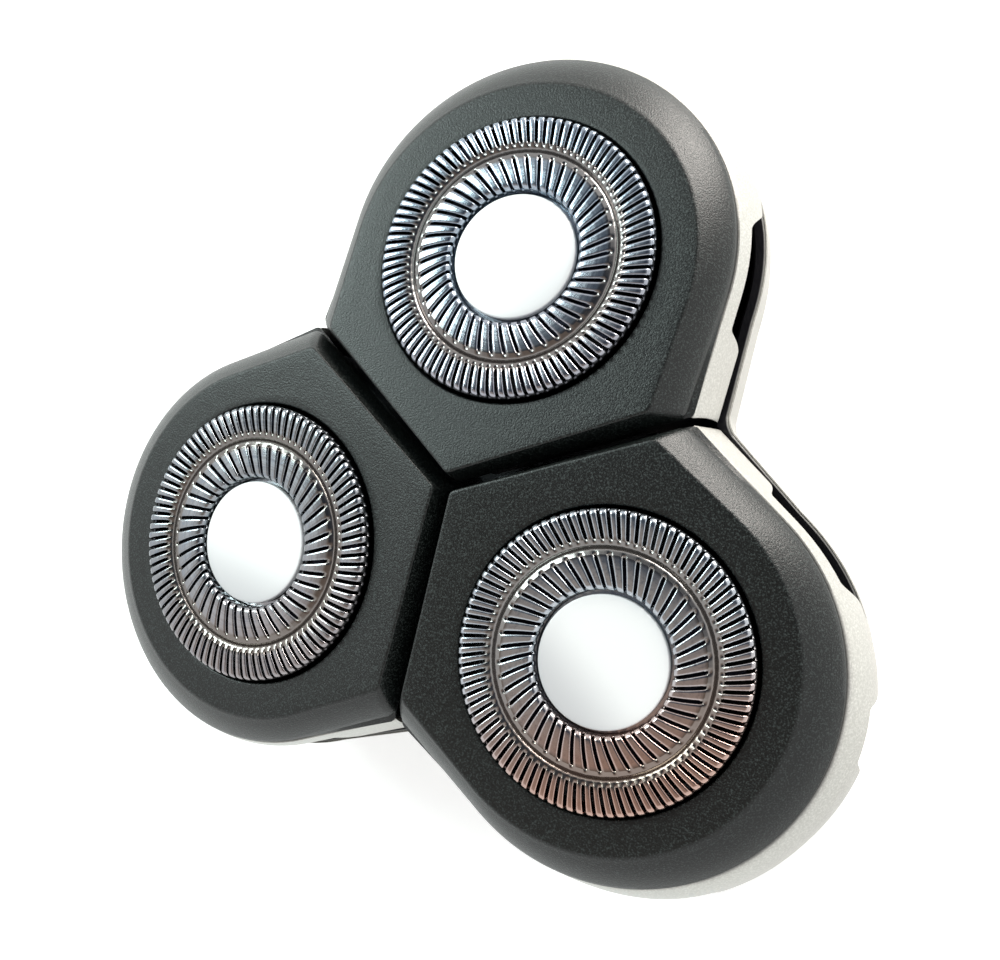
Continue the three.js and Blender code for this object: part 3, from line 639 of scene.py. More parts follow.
# Silver lacquer with aluminium flake, sprayed on black ABS: pale and slightly warm, with a fine grain
SILVER_LACQUER = SprayedLacquer(
    "silver_flake_lacquer", "#bcbbb5", "#e6e5e0", Slot.SILVER, metallic=0.5, roughness=0.36, fleck_share=0.6,
    relief_mm=0.003,
)
# Unpainted ABS moulded in black: near-black with a cold cast, so the windows read as dark slits
INNER_ABS = Finish("moulded_black_abs", "#0b0b14", "#171824", Slot.DARK, roughness=0.5, relief_mm=0.003)
# POM plate moulded in grey: dull, even and slightly waxy
GREY_POM = Finish("moulded_grey_pom", "#585c60", "#6c7074", Slot.GREY, roughness=0.5)
# Natural POM, moulded gears: ivory, with the soft shine of a self-lubricating plastic
NATURAL_POM = Finish("natural_pom", "#e4e0d3", "#f1eee4", Slot.GEAR, roughness=0.4, relief_mm=0.002)
# Nitrile rubber, moulded and powdered: black and matt, with a soft bloom
NITRILE = Finish("nitrile_rubber", "#121212", "#1f1f1f", Slot.RUBBER, roughness=0.8, relief_mm=0.006)
# Stainless steel, ground: pins and screws with a soft grey shine
GROUND_STEEL = Finish(
    "ground_stainless", "#b4b7bb", "#c9ccd0", Slot.BLADE, metallic=1.0, roughness=0.3, relief_mm=0.002
)
# Spring wire, drawn and tempered: a duller, darker grey than the ground pins
SPRING_WIRE = Finish(
    "drawn_spring_wire", "#9b9fa4", "#b5b9be", Slot.SPRING, metallic=1.0, roughness=0.34, relief_mm=0.002
)
# Cutter steel, hardened, and painted dark as shade: the colour stands in for the shade in the cavity under
# the guard, so that the slots over it read as black
SHADED_CUTTER_STEEL = Finish(
    "cutter_steel_painted_shade", "#1c1d26", "#2a2c36", Slot.BLADE, metallic=1.0, roughness=0.42, relief_mm=0.002
)


def guard_steel(station: Station) -> GuardSteel:
    """Stainless steel, stamped and electro-polished: a blue-grey mirror with faint turning rings, made
    lighter or darker pod by pod as painted light and shade.
    """
    # Share of the painted warm reflection on each pod, most on the third.
    most = (0.15, 0.15, 0.7)[station.number - 1]
    # Painted light and shade: each pod's guard gets its own lighter or darker copy of one steel colour.
    tone = ("#a6b1be", "#9a9ea2", "#c4cad0")[station.number - 1]
    return GuardSteel(
        f"polished_stainless_{station.number}", tone, "#cbd2d9", Slot.GUARD, metallic=1.0, roughness=0.2,
        roughness_spread=0.05, grain_mm=0.2, relief_mm=0.0015, station=station, reflection_most=most,
    )


def cap_metal(station: Station) -> CapMetal:
    """Brass disc, bead-blasted and plated satin white: even and bright, with painted shade falling to light
    grey on one side.
    """
    # Painted shade: each pod's cap darkens towards its own heading, where its light falls off.
    heading = (-40.0, -95.0, -125.0)[station.number - 1]
    return CapMetal(
        f"satin_plated_cap_{station.number}", "#fdfdfd", "#ffffff", Slot.CAP, metallic=0.1, roughness=0.4,
        roughness_spread=0.03, grain_mm=0.3, relief_mm=0.0005, station=station, shade_heading=heading,
    )


class Workshop:
    """Keeps one material for each finish and dresses pieces and nodes with them."""

    def __init__(self) -> None:
        """Start with no material made."""
        self.made: dict[str, bpy.types.Material] = {}

    def dress(self, piece: bpy.types.Object, finish: Finish) -> None:
        """Give the piece this finish alone.

        Args:
            piece: A new piece or a node of the frame.
            finish: The finish that it gets.
        """
        if finish.name not in self.made:
            self.made[finish.name] = finish.material()
        piece.data.materials.clear()
        piece.data.materials.append(self.made[finish.name])

    def place(self, piece: bpy.types.Object, finish: Finish, body: str, *nodes: str) -> None:
        """Dress a new piece, let it ride on a body, and let it stand for nodes of the frame.

        Args:
            piece: The new piece.
            finish: Its finish.
            body: The body that it moves with.
            nodes: The nodes that it stands for.
        """
        self.dress(piece, finish)
        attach(piece, body)
        if nodes:
            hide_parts(*nodes)
        LOG.info("%s: %d faces, rides on %s", piece.name, len(piece.data.polygons), body)


# Sub-assemblies


@dataclass
class PodPart:
    """A piece of one pod, drawn in the pod's own frame."""

    station: Station

    def skin(self, points: np.ndarray, lids: bool = False) -> Surface:
        """A closed surface through a grid of points of the pod's own frame, in millimetres."""
        return Surface.grid(self.station.to_unit(points), lids)

    def put(self, shop: Workshop, surface: Surface, finish: Finish, names: str) -> bpy.types.Object:
        """Write the surface into a piece and place it.

        Args:
            shop: The workshop that dresses it.
            surface: Its surface, in the unit's frame.
            finish: Its finish.
            names: The piece, its body and any node that it stands for, each without the pod's number.

        Returns:
            The piece.
        """
        name, body, *nodes = (f"{part}_{self.station.number}" for part in names.split())
        piece = surface.mesh_object(name)
        shop.place(piece, finish, body, *nodes)
        return piece


@dataclass
class PodCover(PodPart):
    """The black cover: flat top with a round hole, soft chamfer, thin lip and a skirt under it."""

    hole_radius: float = 10.72
    hole_round: float = 0.15
    hole_rows: int = 5
    top_margin: float = 1.2
    top_rows: int = 5
    chamfer_depth: float = 2.1
    chamfer_run: float = 1.6
    chamfer_crown_share: float = 0.1
    chamfer_rows: int = 9
    edge_round: float = 0.4
    edge_rows: int = 7
    lip: float = 0.3
    foot: float = 0.22
    plate: float = 1.2
    skirt_inset: float = 1.0
    skirt_depth: float = 5.0

    def slope(self) -> np.ndarray:
        """The way out from the flat top to the lip.

        Returns:
            Rows of distance out and depth, with a softened edge and then a slightly crowned chamfer.
        """
        end = (self.chamfer_run, self.chamfer_depth)
        sharp = [(-self.top_margin, 0.0, 0.0), (0.0, 0.0, self.edge_round), (*end, 0.0)]
        start = rounded_path(sharp, closed=False, arc=self.edge_rows)[:-1]
        run = np.linspace(0, 1, self.chamfer_rows)[1:, None]
        line = start[-1] + (np.array([end]) - start[-1]) * run
        crown = self.chamfer_crown_share * 4 * run[:, 0] * (1 - run[:, 0])
        line[:, 0] += crown
        line[:, 1] -= crown / 2
        return np.concatenate([start, line])

    def rows(self) -> np.ndarray:
        """Every row of the cover, from the hole's wall over the top and the lip and back under."""
        made = [circle_row(self.hole_radius, self.plate)]
        for angle in np.linspace(0, math.pi / 2, self.hole_rows):
            radius = self.hole_radius + self.hole_round * (1 - math.cos(angle))
            made.append(circle_row(radius, self.hole_round * (1 - math.sin(angle))))
        inner, outer = made[-1], level_row(COVER_FLAT.inset(self.top_margin), 0.0)
        made += [inner + (outer - inner) * share for share in np.linspace(0, 1, self.top_rows)[1:-1]]
        for out, depth in self.slope():
            beyond = COVER_FLAT.mixed(COVER_EDGE, out / self.chamfer_run)
            made.append(level_row(COVER_FLAT.inset(-out) if out < 0 else beyond, depth))
        low = self.chamfer_depth + self.lip
        skirt = COVER_EDGE.inset(self.skirt_inset)
        foot, inside = low + self.foot, skirt.inset(self.skirt_inset)
        bottom = [(COVER_EDGE, low), (COVER_FOOT, foot), (skirt, foot), (skirt, self.skirt_depth)]
        bottom += [(inside, self.skirt_depth), (inside, self.plate)]
        made += [level_row(level, depth) for level, depth in bottom]
        return np.stack(made)

    def build(self, shop: Workshop) -> None:
        """Make the cover and let it stand for its node."""
        self.put(shop, self.skin(self.rows()), COVER_ABS, "cover pod pod_cover")


@dataclass(frozen=True)
class Window:
    """A notch in the shell's lower rim, narrower at its top."""

    turn: float
    length: float
    top_length: float
    height: float

    def rise(self, outline: np.ndarray, centre_x: float) -> np.ndarray:
        """How far the rim is raised at each point of an outline.

        The rise falls evenly from the notch's top to nothing at its foot, by the point's distance across
        the notch's direction.

        Args:
            outline: Points of x, y.
            centre_x: Where the notch's direction starts, on the x axis.

        Returns:
            The rise in millimetres at each point.
        """
        x, y = outline[:, 0] - centre_x, outline[:, 1]
        across = np.abs(-x * math.sin(self.turn) + y * math.cos(self.turn))
        facing = x * math.cos(self.turn) + y * math.sin(self.turn) > 0
        slope = (self.length - self.top_length) / 2
        share = np.clip((self.length / 2 - across) / slope, 0, 1)
        return self.height * share * share * (3 - 2 * share) * facing


@dataclass
class PodShell(PodPart):
    """The silver band round a pod, bulging to its lower rim, with windows notched into that rim."""

    top_depth: float = 2.7
    rim_depth: float = 6.9
    wall: float = 0.9
    edge_round: float = 0.16
    edge_rows: int = 4
    side_from: float = 0.03
    side_to: float = 0.95
    side_rows: int = 12
    bare_from: float = 0.12
    steps: int = 440
    windows: tuple[Window, ...] = tuple(
        Window(side * math.radians(turn), length, top, height)
        for side in (1, -1)
        for turn, length, top, height in ((81.5, 10.5, 7.4, 2.5), (31, 5.6, 3.6, 1.7))
    )

    def path(self, level: Level, depth: float) -> np.ndarray:
        """The level's line from corner to corner round the lobe, at even steps."""
        outline = level.points(depth)
        flank = SIDE_STEPS + CORNER_STEPS // 2 + 1
        line = np.concatenate([outline[-flank:], outline[: LOBE_STEPS + flank]])
        length = np.concatenate([[0], np.cumsum(np.linalg.norm(np.diff(line, axis=0), axis=1))])
        even = np.linspace(0, length[-1], self.steps)
        return np.stack([np.interp(even, length, line[:, axis]) for axis in (0, 1)], axis=-1)

    def section(self) -> np.ndarray:
        """The wall's section: share inwards and share down, round the outside, the rim and the inside."""
        down = np.linspace(self.side_from, self.side_to, self.side_rows)
        turn = np.linspace(0, math.pi / 2, self.edge_rows)
        soft = self.edge_round / self.wall
        fall = self.edge_round / (self.rim_depth - self.top_depth)
        outside = np.stack([0 * down, down], axis=-1)
        rim_out = np.stack([soft * (1 - np.cos(turn)), 1 - fall * (1 - np.sin(turn))], axis=-1)
        rim_in = rim_out[::-1] * (-1, 1) + (1, 0)
        inside = outside[::-1] * (0, 1) + (1, 0)
        top = np.array([[1, 0.0], [soft, 0.0]])
        return np.concatenate([outside, rim_out, rim_in, inside, top])

    def face(self, inset: float, bulge: np.ndarray) -> np.ndarray:
        """The outside drawn in by a distance: x, y at each share of the way from the top to the rim."""
        top = self.path(SHELL_TOP.inset(inset), self.top_depth)
        rim = self.path(SHELL_RIM.inset(inset), self.rim_depth)
        return top[:, None] + (rim - top)[:, None] * bulge

    def rows(self) -> np.ndarray:
        """A section at every step of the path.

        The bulge grows as one less the square of the share still to fall.
        """
        height = self.rim_depth - self.top_depth
        rim = self.path(SHELL_RIM, self.rim_depth)
        rise = sum(window.rise(rim, SHELL_RIM.shift) for window in self.windows)
        section = self.section()
        inwards, down = section[None, :, 0, None], section[None, :, 1]
        depth = self.top_depth + down * (height - rise[:, None])
        fallen = np.clip((depth - self.top_depth) / height, 0, 1)
        bulge = (1 - (1 - fallen) ** 2)[..., None]
        outer, inner = self.face(0.0, bulge), self.face(self.wall, bulge)
        return np.concatenate([outer + (inner - outer) * inwards, -depth[..., None]], axis=-1)

    def build(self, shop: Workshop) -> None:
        """Make the shell, bare from the rim's middle inwards, and let it stand for its node."""
        surface = self.skin(self.rows(), lids=True)
        bare = self.section()[:, 0] > self.bare_from
        surface.layers["bare"] = np.tile(bare.astype(float), self.steps)
        self.put(shop, surface, SILVER_LACQUER, "shell pod pod_shell")


@dataclass
class PodTray(PodPart):
    """The dark inner body under a pod: wall, floor with the spindle's hole, and the hinge knuckle."""

    top: float = 5.3
    floor_top: float = 7.2
    floor: float = 8.0
    skirt: float = 9.9
    skirt_start: float = -8.5
    skirt_stub: float = 0.05
    wall: float = 1.0
    edge: float = 0.1
    hole_radius: float = 4.2
    knuckle_reach: float = 12.0
    knuckle_radius: float = 1.35
    knuckle_bore: float = 0.8
    knuckle_width: float = 3.8
    knuckle_sides: int = 32

    def rows(self) -> np.ndarray:
        """Rows from the hole's upper edge over the floor, up and down the wall, and back under the floor.

        The skirt ends in a stub where it would meet the hinge.
        """
        inner = TRAY.inset(self.wall)
        wall = [(inner, self.floor_top), (inner, self.top), (TRAY.inset(self.edge), self.top)]
        wall += [(TRAY, self.top + self.edge), (TRAY, self.floor)]
        made = [circle_row(self.hole_radius, depth) for depth in (self.floor, self.floor_top)]
        made += [level_row(level, depth) for level, depth in wall]
        skirt = np.stack([level_row(level, self.skirt) for level in (TRAY, inner)])
        short = skirt[..., 0] < self.skirt_start
        skirt[..., 2] = np.where(short, -self.floor - self.skirt_stub, skirt[..., 2])
        return np.stack([*made, *skirt, level_row(inner, self.floor)])

    def knuckle(self) -> np.ndarray:
        """The hinge knuckle: a short tube across the pod, at its bore and its outer radius."""
        half = self.knuckle_width / 2
        bore, radius = self.knuckle_bore, self.knuckle_radius
        profile = np.array([(bore, -half), (radius, -half), (radius, half), (bore, half)])
        tube = revolved(profile, self.knuckle_sides)
        return np.stack([tube[..., 0] - self.knuckle_reach, tube[..., 2], tube[..., 1] - self.skirt], axis=-1)

    def build(self, shop: Workshop) -> None:
        """Make the tray and let it stand for its node."""
        surface = self.skin(self.rows()).joined(self.skin(self.knuckle()))
        self.put(shop, surface, INNER_ABS, "tray pod pod_tray")


@dataclass(frozen=True)
class Track:
    """One slotted track of a guard: its slots, and the stretch of the profile that they run through."""

    slots: int
    slot_width: float
    slant: float
    middle_radius: float
    bar_steps: tuple[float, ...]

    def turns(self, radius: np.ndarray) -> np.ndarray:
        """Where the columns stand at each radius.

        A slot keeps its width, so its half angle is half that width over the radius. The bar between two
        slots is shared out by bar_steps. A column leans by the tangent of the slant times the logarithm
        of the radius over the track's middle radius.

        Args:
            radius: The radius of each row, in millimetres.

        Returns:
            Rows by columns of turns in radians.
        """
        pitch = 2 * math.pi / self.slots
        half = (self.slot_width / 2 / math.cos(self.slant) / radius)[:, None, None]
        bar = np.array(self.bar_steps)[None, None, :]
        first = (np.arange(self.slots) * pitch)[None, :, None]
        lean = (math.tan(self.slant) * np.log(np.maximum(radius, 1.0) / self.middle_radius))[:, None, None]
        columns = first + half + (pitch - 2 * half) * bar + lean
        return columns.reshape(len(radius), -1)


@dataclass
class Guard(PodPart):
    """The slotted steel guard: two tracks of bars with a groove between them, round a blank well."""

    radius: float = 10.5
    rise: float = 0.95
    shoulder: float = 0.4
    well_radius: float = 4.956
    well_depth: float = 1.2
    groove_inner: float = 7.35
    groove_middle: float = 7.854
    groove_outer: float = 8.4
    groove_depth: float = 0.22
    groove_round: float = 0.12
    groove_margin: float = 0.05
    foot: float = -1.9
    foot_round: float = 0.2
    flange_radius: float = 11.8
    skin_mm: float = 0.3
    bar_round: float = 0.07
    crown: float = 0.06
    slot_over: float = 0.08
    slot_foot: float = 0.1
    arc_steps: int = 7
    row_mm: float = 0.3
    up_weight: float = 10.0
    crease: float = 50.0
    outer: Track = Track(90, 0.19, math.radians(10), 9.5, (0.0, 0.2, 0.4, 0.6, 0.8, 1.0))
    inner: Track = Track(45, 0.18, math.radians(17), 6.2, (0.0, 0.14, 0.32, 0.5, 0.68, 0.86, 1.0))

    def profile(self, edge: float, *ends: tuple[float, float, float]) -> np.ndarray:
        """From the groove's bottom over one track and its shoulder.

        The track is domed: its height falls by the crown times the square of the share from its middle
        to its edge, and by the whole crown on the rows beside it.

        Args:
            edge: The radius of the groove's edge on this side.
            ends: The corners past the shoulder, the first of them straight under it.

        Returns:
            Rows of radius and height.
        """
        far = ends[0][0]
        start = (self.groove_middle, self.rise - self.groove_depth, 0.0)
        corners = [start, (edge, self.rise, self.groove_round), (far, self.rise, self.shoulder), *ends]
        made = rounded_path(corners, closed=False, arc=self.arc_steps, step=self.row_mm)
        share = (made[:, 0] - edge) / (far - edge) * 2 - 1
        fall = np.where((np.abs(share) < 1) & (made[:, 1] > 0), self.crown * share * share, 0.0)
        beside = (np.abs(share) >= 1) & (made[:, 1] > self.rise - self.shoulder)
        made[:, 1] -= np.where(beside, self.crown, fall)
        return made

    def slotted(self, profile: np.ndarray, track: Track, open_rows: np.ndarray) -> Surface:
        """Turn a profile round the pod's axis and leave the slots out.

        Bars are rounded along their edges: the columns beside a slot sink by bar_round along the
        profile's normal. Cells between the two edges of a slot are left out in the open rows.

        Args:
            profile: Rows of radius and height.
            track: The slots' count, width and slant.
            open_rows: Whether each row lies within the slots' length.

        Returns:
            A skin with holes.
        """
        turns = track.turns(profile[:, 0])
        steps = len(track.bar_steps)
        step = np.arange(turns.shape[1]) % steps
        sunk = self.bar_round * open_rows[:, None] * np.isin(step, (0, steps - 1))[None, :]
        tangent = np.gradient(profile, axis=0)
        tangent /= np.linalg.norm(tangent, axis=1)[:, None]
        normal = np.stack([-tangent[:, 1], tangent[:, 0]], axis=-1)
        away = profile[:, :1] - self.groove_middle
        normal *= np.sign(normal[:, 1:] * self.up_weight + normal[:, :1] * away)
        radius, height = (profile[:, part] - sunk * normal[:, part] for part in (slice(0, 1), slice(1, 2)))
        flat = self.station.to_unit(polar(radius, turns, height)).reshape(-1, 3)
        gap = (step == steps - 1)[None, :] & (open_rows[:-1] & open_rows[1:])[:, None]
        skirt = np.clip((self.rise - self.shoulder - profile[:, 1]) / self.shoulder, 0, 1)
        skirt *= profile[:, 0] > self.groove_middle
        groove = profile[:, 0] > self.groove_inner - self.groove_margin
        groove &= profile[:, 0] < self.groove_outer + self.groove_margin
        layers = {"skirt": np.repeat(skirt, turns.shape[1])}
        layers["groove"] = np.repeat(groove.astype(float), turns.shape[1])
        surface = Surface(flat, grid_quads(*turns.shape, False)[~gap].reshape(-1, 4), layers=layers)
        up = self.station.to_unit(np.array([[0, 0, 1.0], [0, 0, 0.0]]))
        a, b, c = (flat[surface.quads[:, corner]] for corner in range(3))
        if (np.cross(b - a, c - a) @ (up[0] - up[1])).sum() < 0:
            surface.quads = surface.quads[:, ::-1]
        return surface

    def build(self, shop: Workshop) -> None:
        """Make the guard and let it stand for its node."""
        wall = (self.radius, self.foot, self.foot_round)
        out = self.profile(self.groove_outer, wall, (self.flange_radius, self.foot, 0.0))
        into = self.profile(self.groove_inner, (self.well_radius, self.rise - self.well_depth, 0.0))
        out_open = (out[:, 0] > self.groove_outer - self.slot_over) & (out[:, 1] > self.slot_foot)
        in_open = (into[:, 0] < self.groove_inner + self.slot_over) & (into[:, 1] > self.slot_foot)
        surface = self.slotted(out, self.outer, out_open).joined(self.slotted(into, self.inner, in_open))
        surface.crease = self.crease
        names = "slotted_guard head guard"
        thick = self.put(shop, surface, guard_steel(self.station), names).modifiers.new("skin", "SOLIDIFY")
        thick.thickness = self.skin_mm * MM
        thick.offset = -1.0


@dataclass
class WellFloor(PodPart):
    """The guard's blank well: a thin disc under the cap that closes the middle of the guard."""

    radius: float = 5.2
    centre: float = 0.02
    top: float = -0.28
    thickness: float = 0.3
    edge: float = 0.05
    sides: int = 96

    def build(self, shop: Workshop) -> None:
        """Make the disc, which moves with the guard."""
        low = self.top - self.thickness
        corners = [(self.centre, low, 0.0), (self.radius, low, self.edge)]
        corners += [(self.radius, self.top, self.edge), (self.centre, self.top, 0.0)]
        disc = revolved(rounded_path(corners, closed=True), self.sides)
        self.put(shop, self.skin(disc), guard_steel(self.station), "well_floor head")


@dataclass
class CentreCap(PodPart):
    """The blank bright disc in the guard's well, with a softened edge."""

    radius: float = 4.656
    rise: float = 0.53
    thickness: float = 0.48
    edge: float = 0.12
    low_edge: float = 0.05
    edge_rows: int = 6
    row_mm: float = 0.4
    centre: float = 0.002
    sides: int = 128

    def build(self, shop: Workshop) -> None:
        """Make the cap and let it stand for its node."""
        low = self.rise - self.thickness
        corners = [(0.0, low, 0.0), (self.radius, low, self.low_edge)]
        corners += [(self.radius, self.rise, self.edge), (0.0, self.rise, 0.0)]
        profile = rounded_path(corners, closed=False, arc=self.edge_rows, step=self.row_mm)
        profile[:, 0] = np.maximum(profile[:, 0], self.centre)
        surface = self.skin(revolved(profile, self.sides), lids=True)
        self.put(shop, surface, cap_metal(self.station), "cap head centre_cap")


@dataclass
class BaseBowl:
    """The silver lower shell: three lobes run into one, a belly that draws in, and a flat floor.

    Its edge is set in a little. The inside is bare plastic, as the lacquer is sprayed from outside; the rim's
    top face is left bare too, as painted shade, so the seam under the pods reads dark.
    """

    rim_depth: float = 7.2
    knee_depth: float = 12.0
    knee_inset: float = 0.53
    knee_round: float = 0.35
    belly_depth: float = 15.7
    belly_inset: float = 4.4
    wall: float = 1.0
    floor: float = 5.0
    hole_radius: float = 4.5
    notch_round: float = 0.35
    rim_round: float = 0.2
    step_share: float = 0.03
    step_inset: float = 0.06
    step_rows: int = 4
    foot_share: float = 0.02
    columns: int = 720
    belly_rows: int = 18

    def lobe_table(self, station: Station, inset: float, turns: np.ndarray) -> tuple[np.ndarray, np.ndarray]:
        """One lobe's reach in every direction from the unit's axis.

        Args:
            station: The lobe's pod.
            inset: How far the lobe is drawn in, in millimetres.
            turns: Directions, in radians.

        Returns:
            The reach and the local x at each direction, in millimetres.
        """
        level = replace(BOWL.inset(inset), side_gap=BOWL.side_gap)
        outline = level_row(level, self.rim_depth)
        placed = station.to_unit(outline) / MM
        reach = np.hypot(placed[:, 0], placed[:, 1])
        turn = np.mod(np.arctan2(placed[:, 1], placed[:, 0]), 2 * math.pi)
        order = np.argsort(turn)
        return (
            np.interp(turns, turn[order], reach[order], period=2 * math.pi),
            np.interp(turns, turn[order], outline[order, 0], period=2 * math.pi),
        )

    def drawn_in(self, depth: np.ndarray) -> np.ndarray:
        """How far the wall lies inside the rim at a depth.

        Two straight slopes meet at the knee: the steep one, and a further one that sets in by the
        logarithm of one plus the exponential of the depth past the knee.
        """
        upper = self.knee_inset / (self.knee_depth - self.rim_depth)
        lower = (self.belly_inset - self.knee_inset) / (self.belly_depth - self.knee_depth)
        past = self.knee_round * np.log1p(np.exp((depth - self.knee_depth) / self.knee_round))
        return upper * (depth - self.rim_depth) + (lower - upper) * past

    def wall_rows(self, inset: float, drops: np.ndarray, turns: np.ndarray) -> np.ndarray:
        """Rows of the wall at shares of the way from the rim to the floor.

        The rim tips about the pods' hinge lines by their full tilt. The lobes are joined by a soft
        maximum: the logarithm of the sum of the exponentials of their reaches.

        Args:
            inset: How far this face lies inside the outer one.
            drops: Shares of the fall, one a row.
            turns: Directions, one a column.

        Returns:
            Rows by columns by 3, in millimetres.
        """
        near, along = np.stack([self.lobe_table(station, inset, turns) for station in STATIONS], axis=1)
        far = np.stack([self.lobe_table(s, inset + self.belly_inset, turns)[0] for s in STATIONS])
        first = STATIONS[0]
        sine, cosine = math.sin(first.splay), math.cos(first.splay)
        rim = self.rim_depth + (along + first.hinge_reach) * math.tan(first.tilt)
        deepest = (first.flat_top - self.floor - along * sine) / cosine
        depth = rim + drops[:, None, None] * (deepest - rim)
        reach = near + (far - near) * self.drawn_in(depth) / self.belly_inset
        soft = np.exp((reach - reach.max(axis=1, keepdims=True)) / self.notch_round)
        joined = reach.max(axis=1) + self.notch_round * np.log(soft.sum(axis=1))
        height = first.flat_top - depth * cosine - along * sine
        height = (height * soft).sum(axis=1) / soft.sum(axis=1)
        return polar(joined, turns, height)

    def build(self, shop: Workshop) -> None:
        """Make the bowl, bare from the rim's middle inwards, and let it stand for its node."""
        turns = np.arange(self.columns) * 2 * math.pi / self.columns
        drops = np.linspace(0, 1, self.belly_rows)
        step = self.wall_rows(self.step_inset, np.linspace(0, self.step_share, self.step_rows), turns)
        belly = self.wall_rows(0.0, self.step_share + drops * (1 - self.step_share), turns)
        inside = self.wall_rows(self.wall, drops, turns)[::-1]
        inside[..., 2] += self.wall * np.linspace(1, 0, self.belly_rows)[:, None]
        rim_out, rim_in = step[0].copy(), inside[-1].copy()
        step[0, :, 2] -= self.rim_round
        inside[-1, :, 2] -= self.rim_round
        share = self.rim_round / self.wall
        rims = np.stack([rim_in + (rim_out - rim_in) * part for part in (share, 1 - share)])
        foot = belly[-1:].copy()
        belly[-1, :, 2] += self.rim_round
        under = polar(self.hole_radius, turns, self.floor)[None]
        foot = foot + (under - foot) * self.foot_share
        between = foot + (under - foot) / 2
        # The bare rim rows are partly painted shade: they darken the seam under the pods.
        bare = np.concatenate([under + (0, 0, self.wall), inside, rims])
        rows = np.concatenate([step, belly, foot, between, under, bare])
        surface = Surface.grid(rows * MM)
        layer = (np.arange(len(rows)) >= len(rows) - len(bare)).astype(float)
        surface.layers["bare"] = np.repeat(layer, self.columns)
        shop.place(surface.mesh_object("bowl"), SILVER_LACQUER, "base", "base_bowl")


@dataclass
class Neck:
    """The neck that clicks on the handle, with its flange, three lugs and a rubber seal in a groove."""

    radius: float = 13.5
    wall: float = 1.7
    flange_radius: float = 15.2
    flange_height: float = 1.3
    top: float = 5.0
    groove: float = 0.7
    groove_width: float = 1.1
    lug_width: float = 5.0
    lug_reach: float = 1.1
    lug_height: float = 1.2
    lug_root: float = 0.4
    lug_edge: float = 0.25
    lug_steps: int = 17
    lug_power: int = 8
    seal_out: float = 0.35
    gap: float = 0.08
    sides: int = 160

    def ring(self, corners: list[tuple[float, float, float]]) -> Surface:
        """Turn a closed section, given by its corners, about the unit's axis."""
        return Surface.grid(revolved(rounded_path(corners, closed=True), self.sides) * MM)

    def body(self) -> Surface:
        """The neck with softened edges, its flange and the seal's groove."""
        flange_low = self.top - self.flange_height
        low = (flange_low - self.groove_width) / 2
        high = low + self.groove_width
        deep, inner = self.radius - self.groove, self.radius - self.wall
        return self.ring([
            (inner, 0.0, 0.2), (self.radius, 0.0, 0.3), (self.radius, low, 0.08), (deep, low, 0.0),
            (deep, high, 0.0), (self.radius, high, 0.08), (self.radius, flange_low, 0.1),
            (self.flange_radius, flange_low, 0.3), (self.flange_radius, self.top, 0.1),
            (inner, self.top, 0.0),
        ])

    def lug(self, turn: float) -> Surface:
        """One lug: a bar with rounded ends on the neck's inner wall, over a stretch of the turn."""
        inner = self.radius - self.wall
        half = self.lug_width / 2 / inner
        low, high = self.top / 2 - self.lug_height, self.top / 2
        tip, root = inner - self.lug_reach, inner + self.lug_root
        corners = [(tip, low, self.lug_edge), (root, low, 0.0), (root, high, 0.0), (tip, high, self.lug_edge)]
        section = rounded_path(corners, closed=True)
        turns = (turn + np.linspace(-half, half, self.lug_steps))[:, None]
        radius, height = section[None, :, 0], section[None, :, 1]
        across = np.abs(np.linspace(-1, 1, self.lug_steps)) ** self.lug_power
        radius = radius + (inner - radius) * across[:, None] * (radius < inner)
        return Surface.grid(polar(radius, turns, height) * MM, lids=True)

    def build(self, shop: Workshop) -> None:
        """Make the neck and its seal."""
        surface = self.body()
        for station in STATIONS:
            surface = surface.joined(self.lug(station.turn))
        shop.place(surface.mesh_object("neck"), INNER_ABS, "base", "coupling_neck")
        middle = (self.top - self.flange_height) / 2
        half = self.groove_width / 2 - self.gap
        deep, out = self.radius - self.groove + self.gap, self.radius + self.seal_out
        low, high = middle - half, middle + half
        ring = self.ring([(deep, low, 0.1), (out, low, 0.35), (out, high, 0.35), (deep, high, 0.1)])
        shop.place(ring.mesh_object("seal_ring"), NITRILE, "base", "neck_seal")


@dataclass
class InnerWorks:
    """The inner pieces whose solids are right as they are, and only take their finish."""

    finishes: dict[str, Finish] = field(
        default_factory=lambda: {
            "gear_cover": GREY_POM,
            "retaining_frame": GREY_POM,
            "gear_axle": GROUND_STEEL,
            "drive_gear": NATURAL_POM,
            "driven_gear": NATURAL_POM,
            "hinge_pin": GROUND_STEEL,
            "cover_screw": GROUND_STEEL,
            # Painted shade: the cutter's dark colour stands for the shade under the guard.
            "cutter": SHADED_CUTTER_STEEL,
            "spindle": INNER_ABS,
            "spindle_seal": NITRILE,
            "pod_spring": SPRING_WIRE,
            "spindle_spring": SPRING_WIRE,
            "float_spring": SPRING_WIRE,
        }
    )

    def build(self, shop: Workshop) -> None:
        """Dress every node that still shows."""
        for name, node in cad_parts.items():
            kind = name[:-2] if name[-2:-1] == "_" and name[-1].isdigit() else name
            if kind in self.finishes:
                shop.dress(node, self.finishes[kind])
                LOG.info("%s keeps its solid", name)


# Floor, light and camera


def seen_share(tree: Tree) -> Socket:
    """One for rays from the camera, in gloss and through glass, and nothing for rays that light."""
    ray = add_node(tree, "ShaderNodeLightPath").outputs
    largest = {"operation": "MAXIMUM"}
    seen = add_node(tree, "ShaderNodeMath", {0: ray["Is Camera Ray"], 1: ray["Is Glossy Ray"]}, largest)
    inputs = {0: seen.outputs[0], 1: ray["Is Transmission Ray"]}
    return add_node(tree, "ShaderNodeMath", inputs, largest).outputs[0]


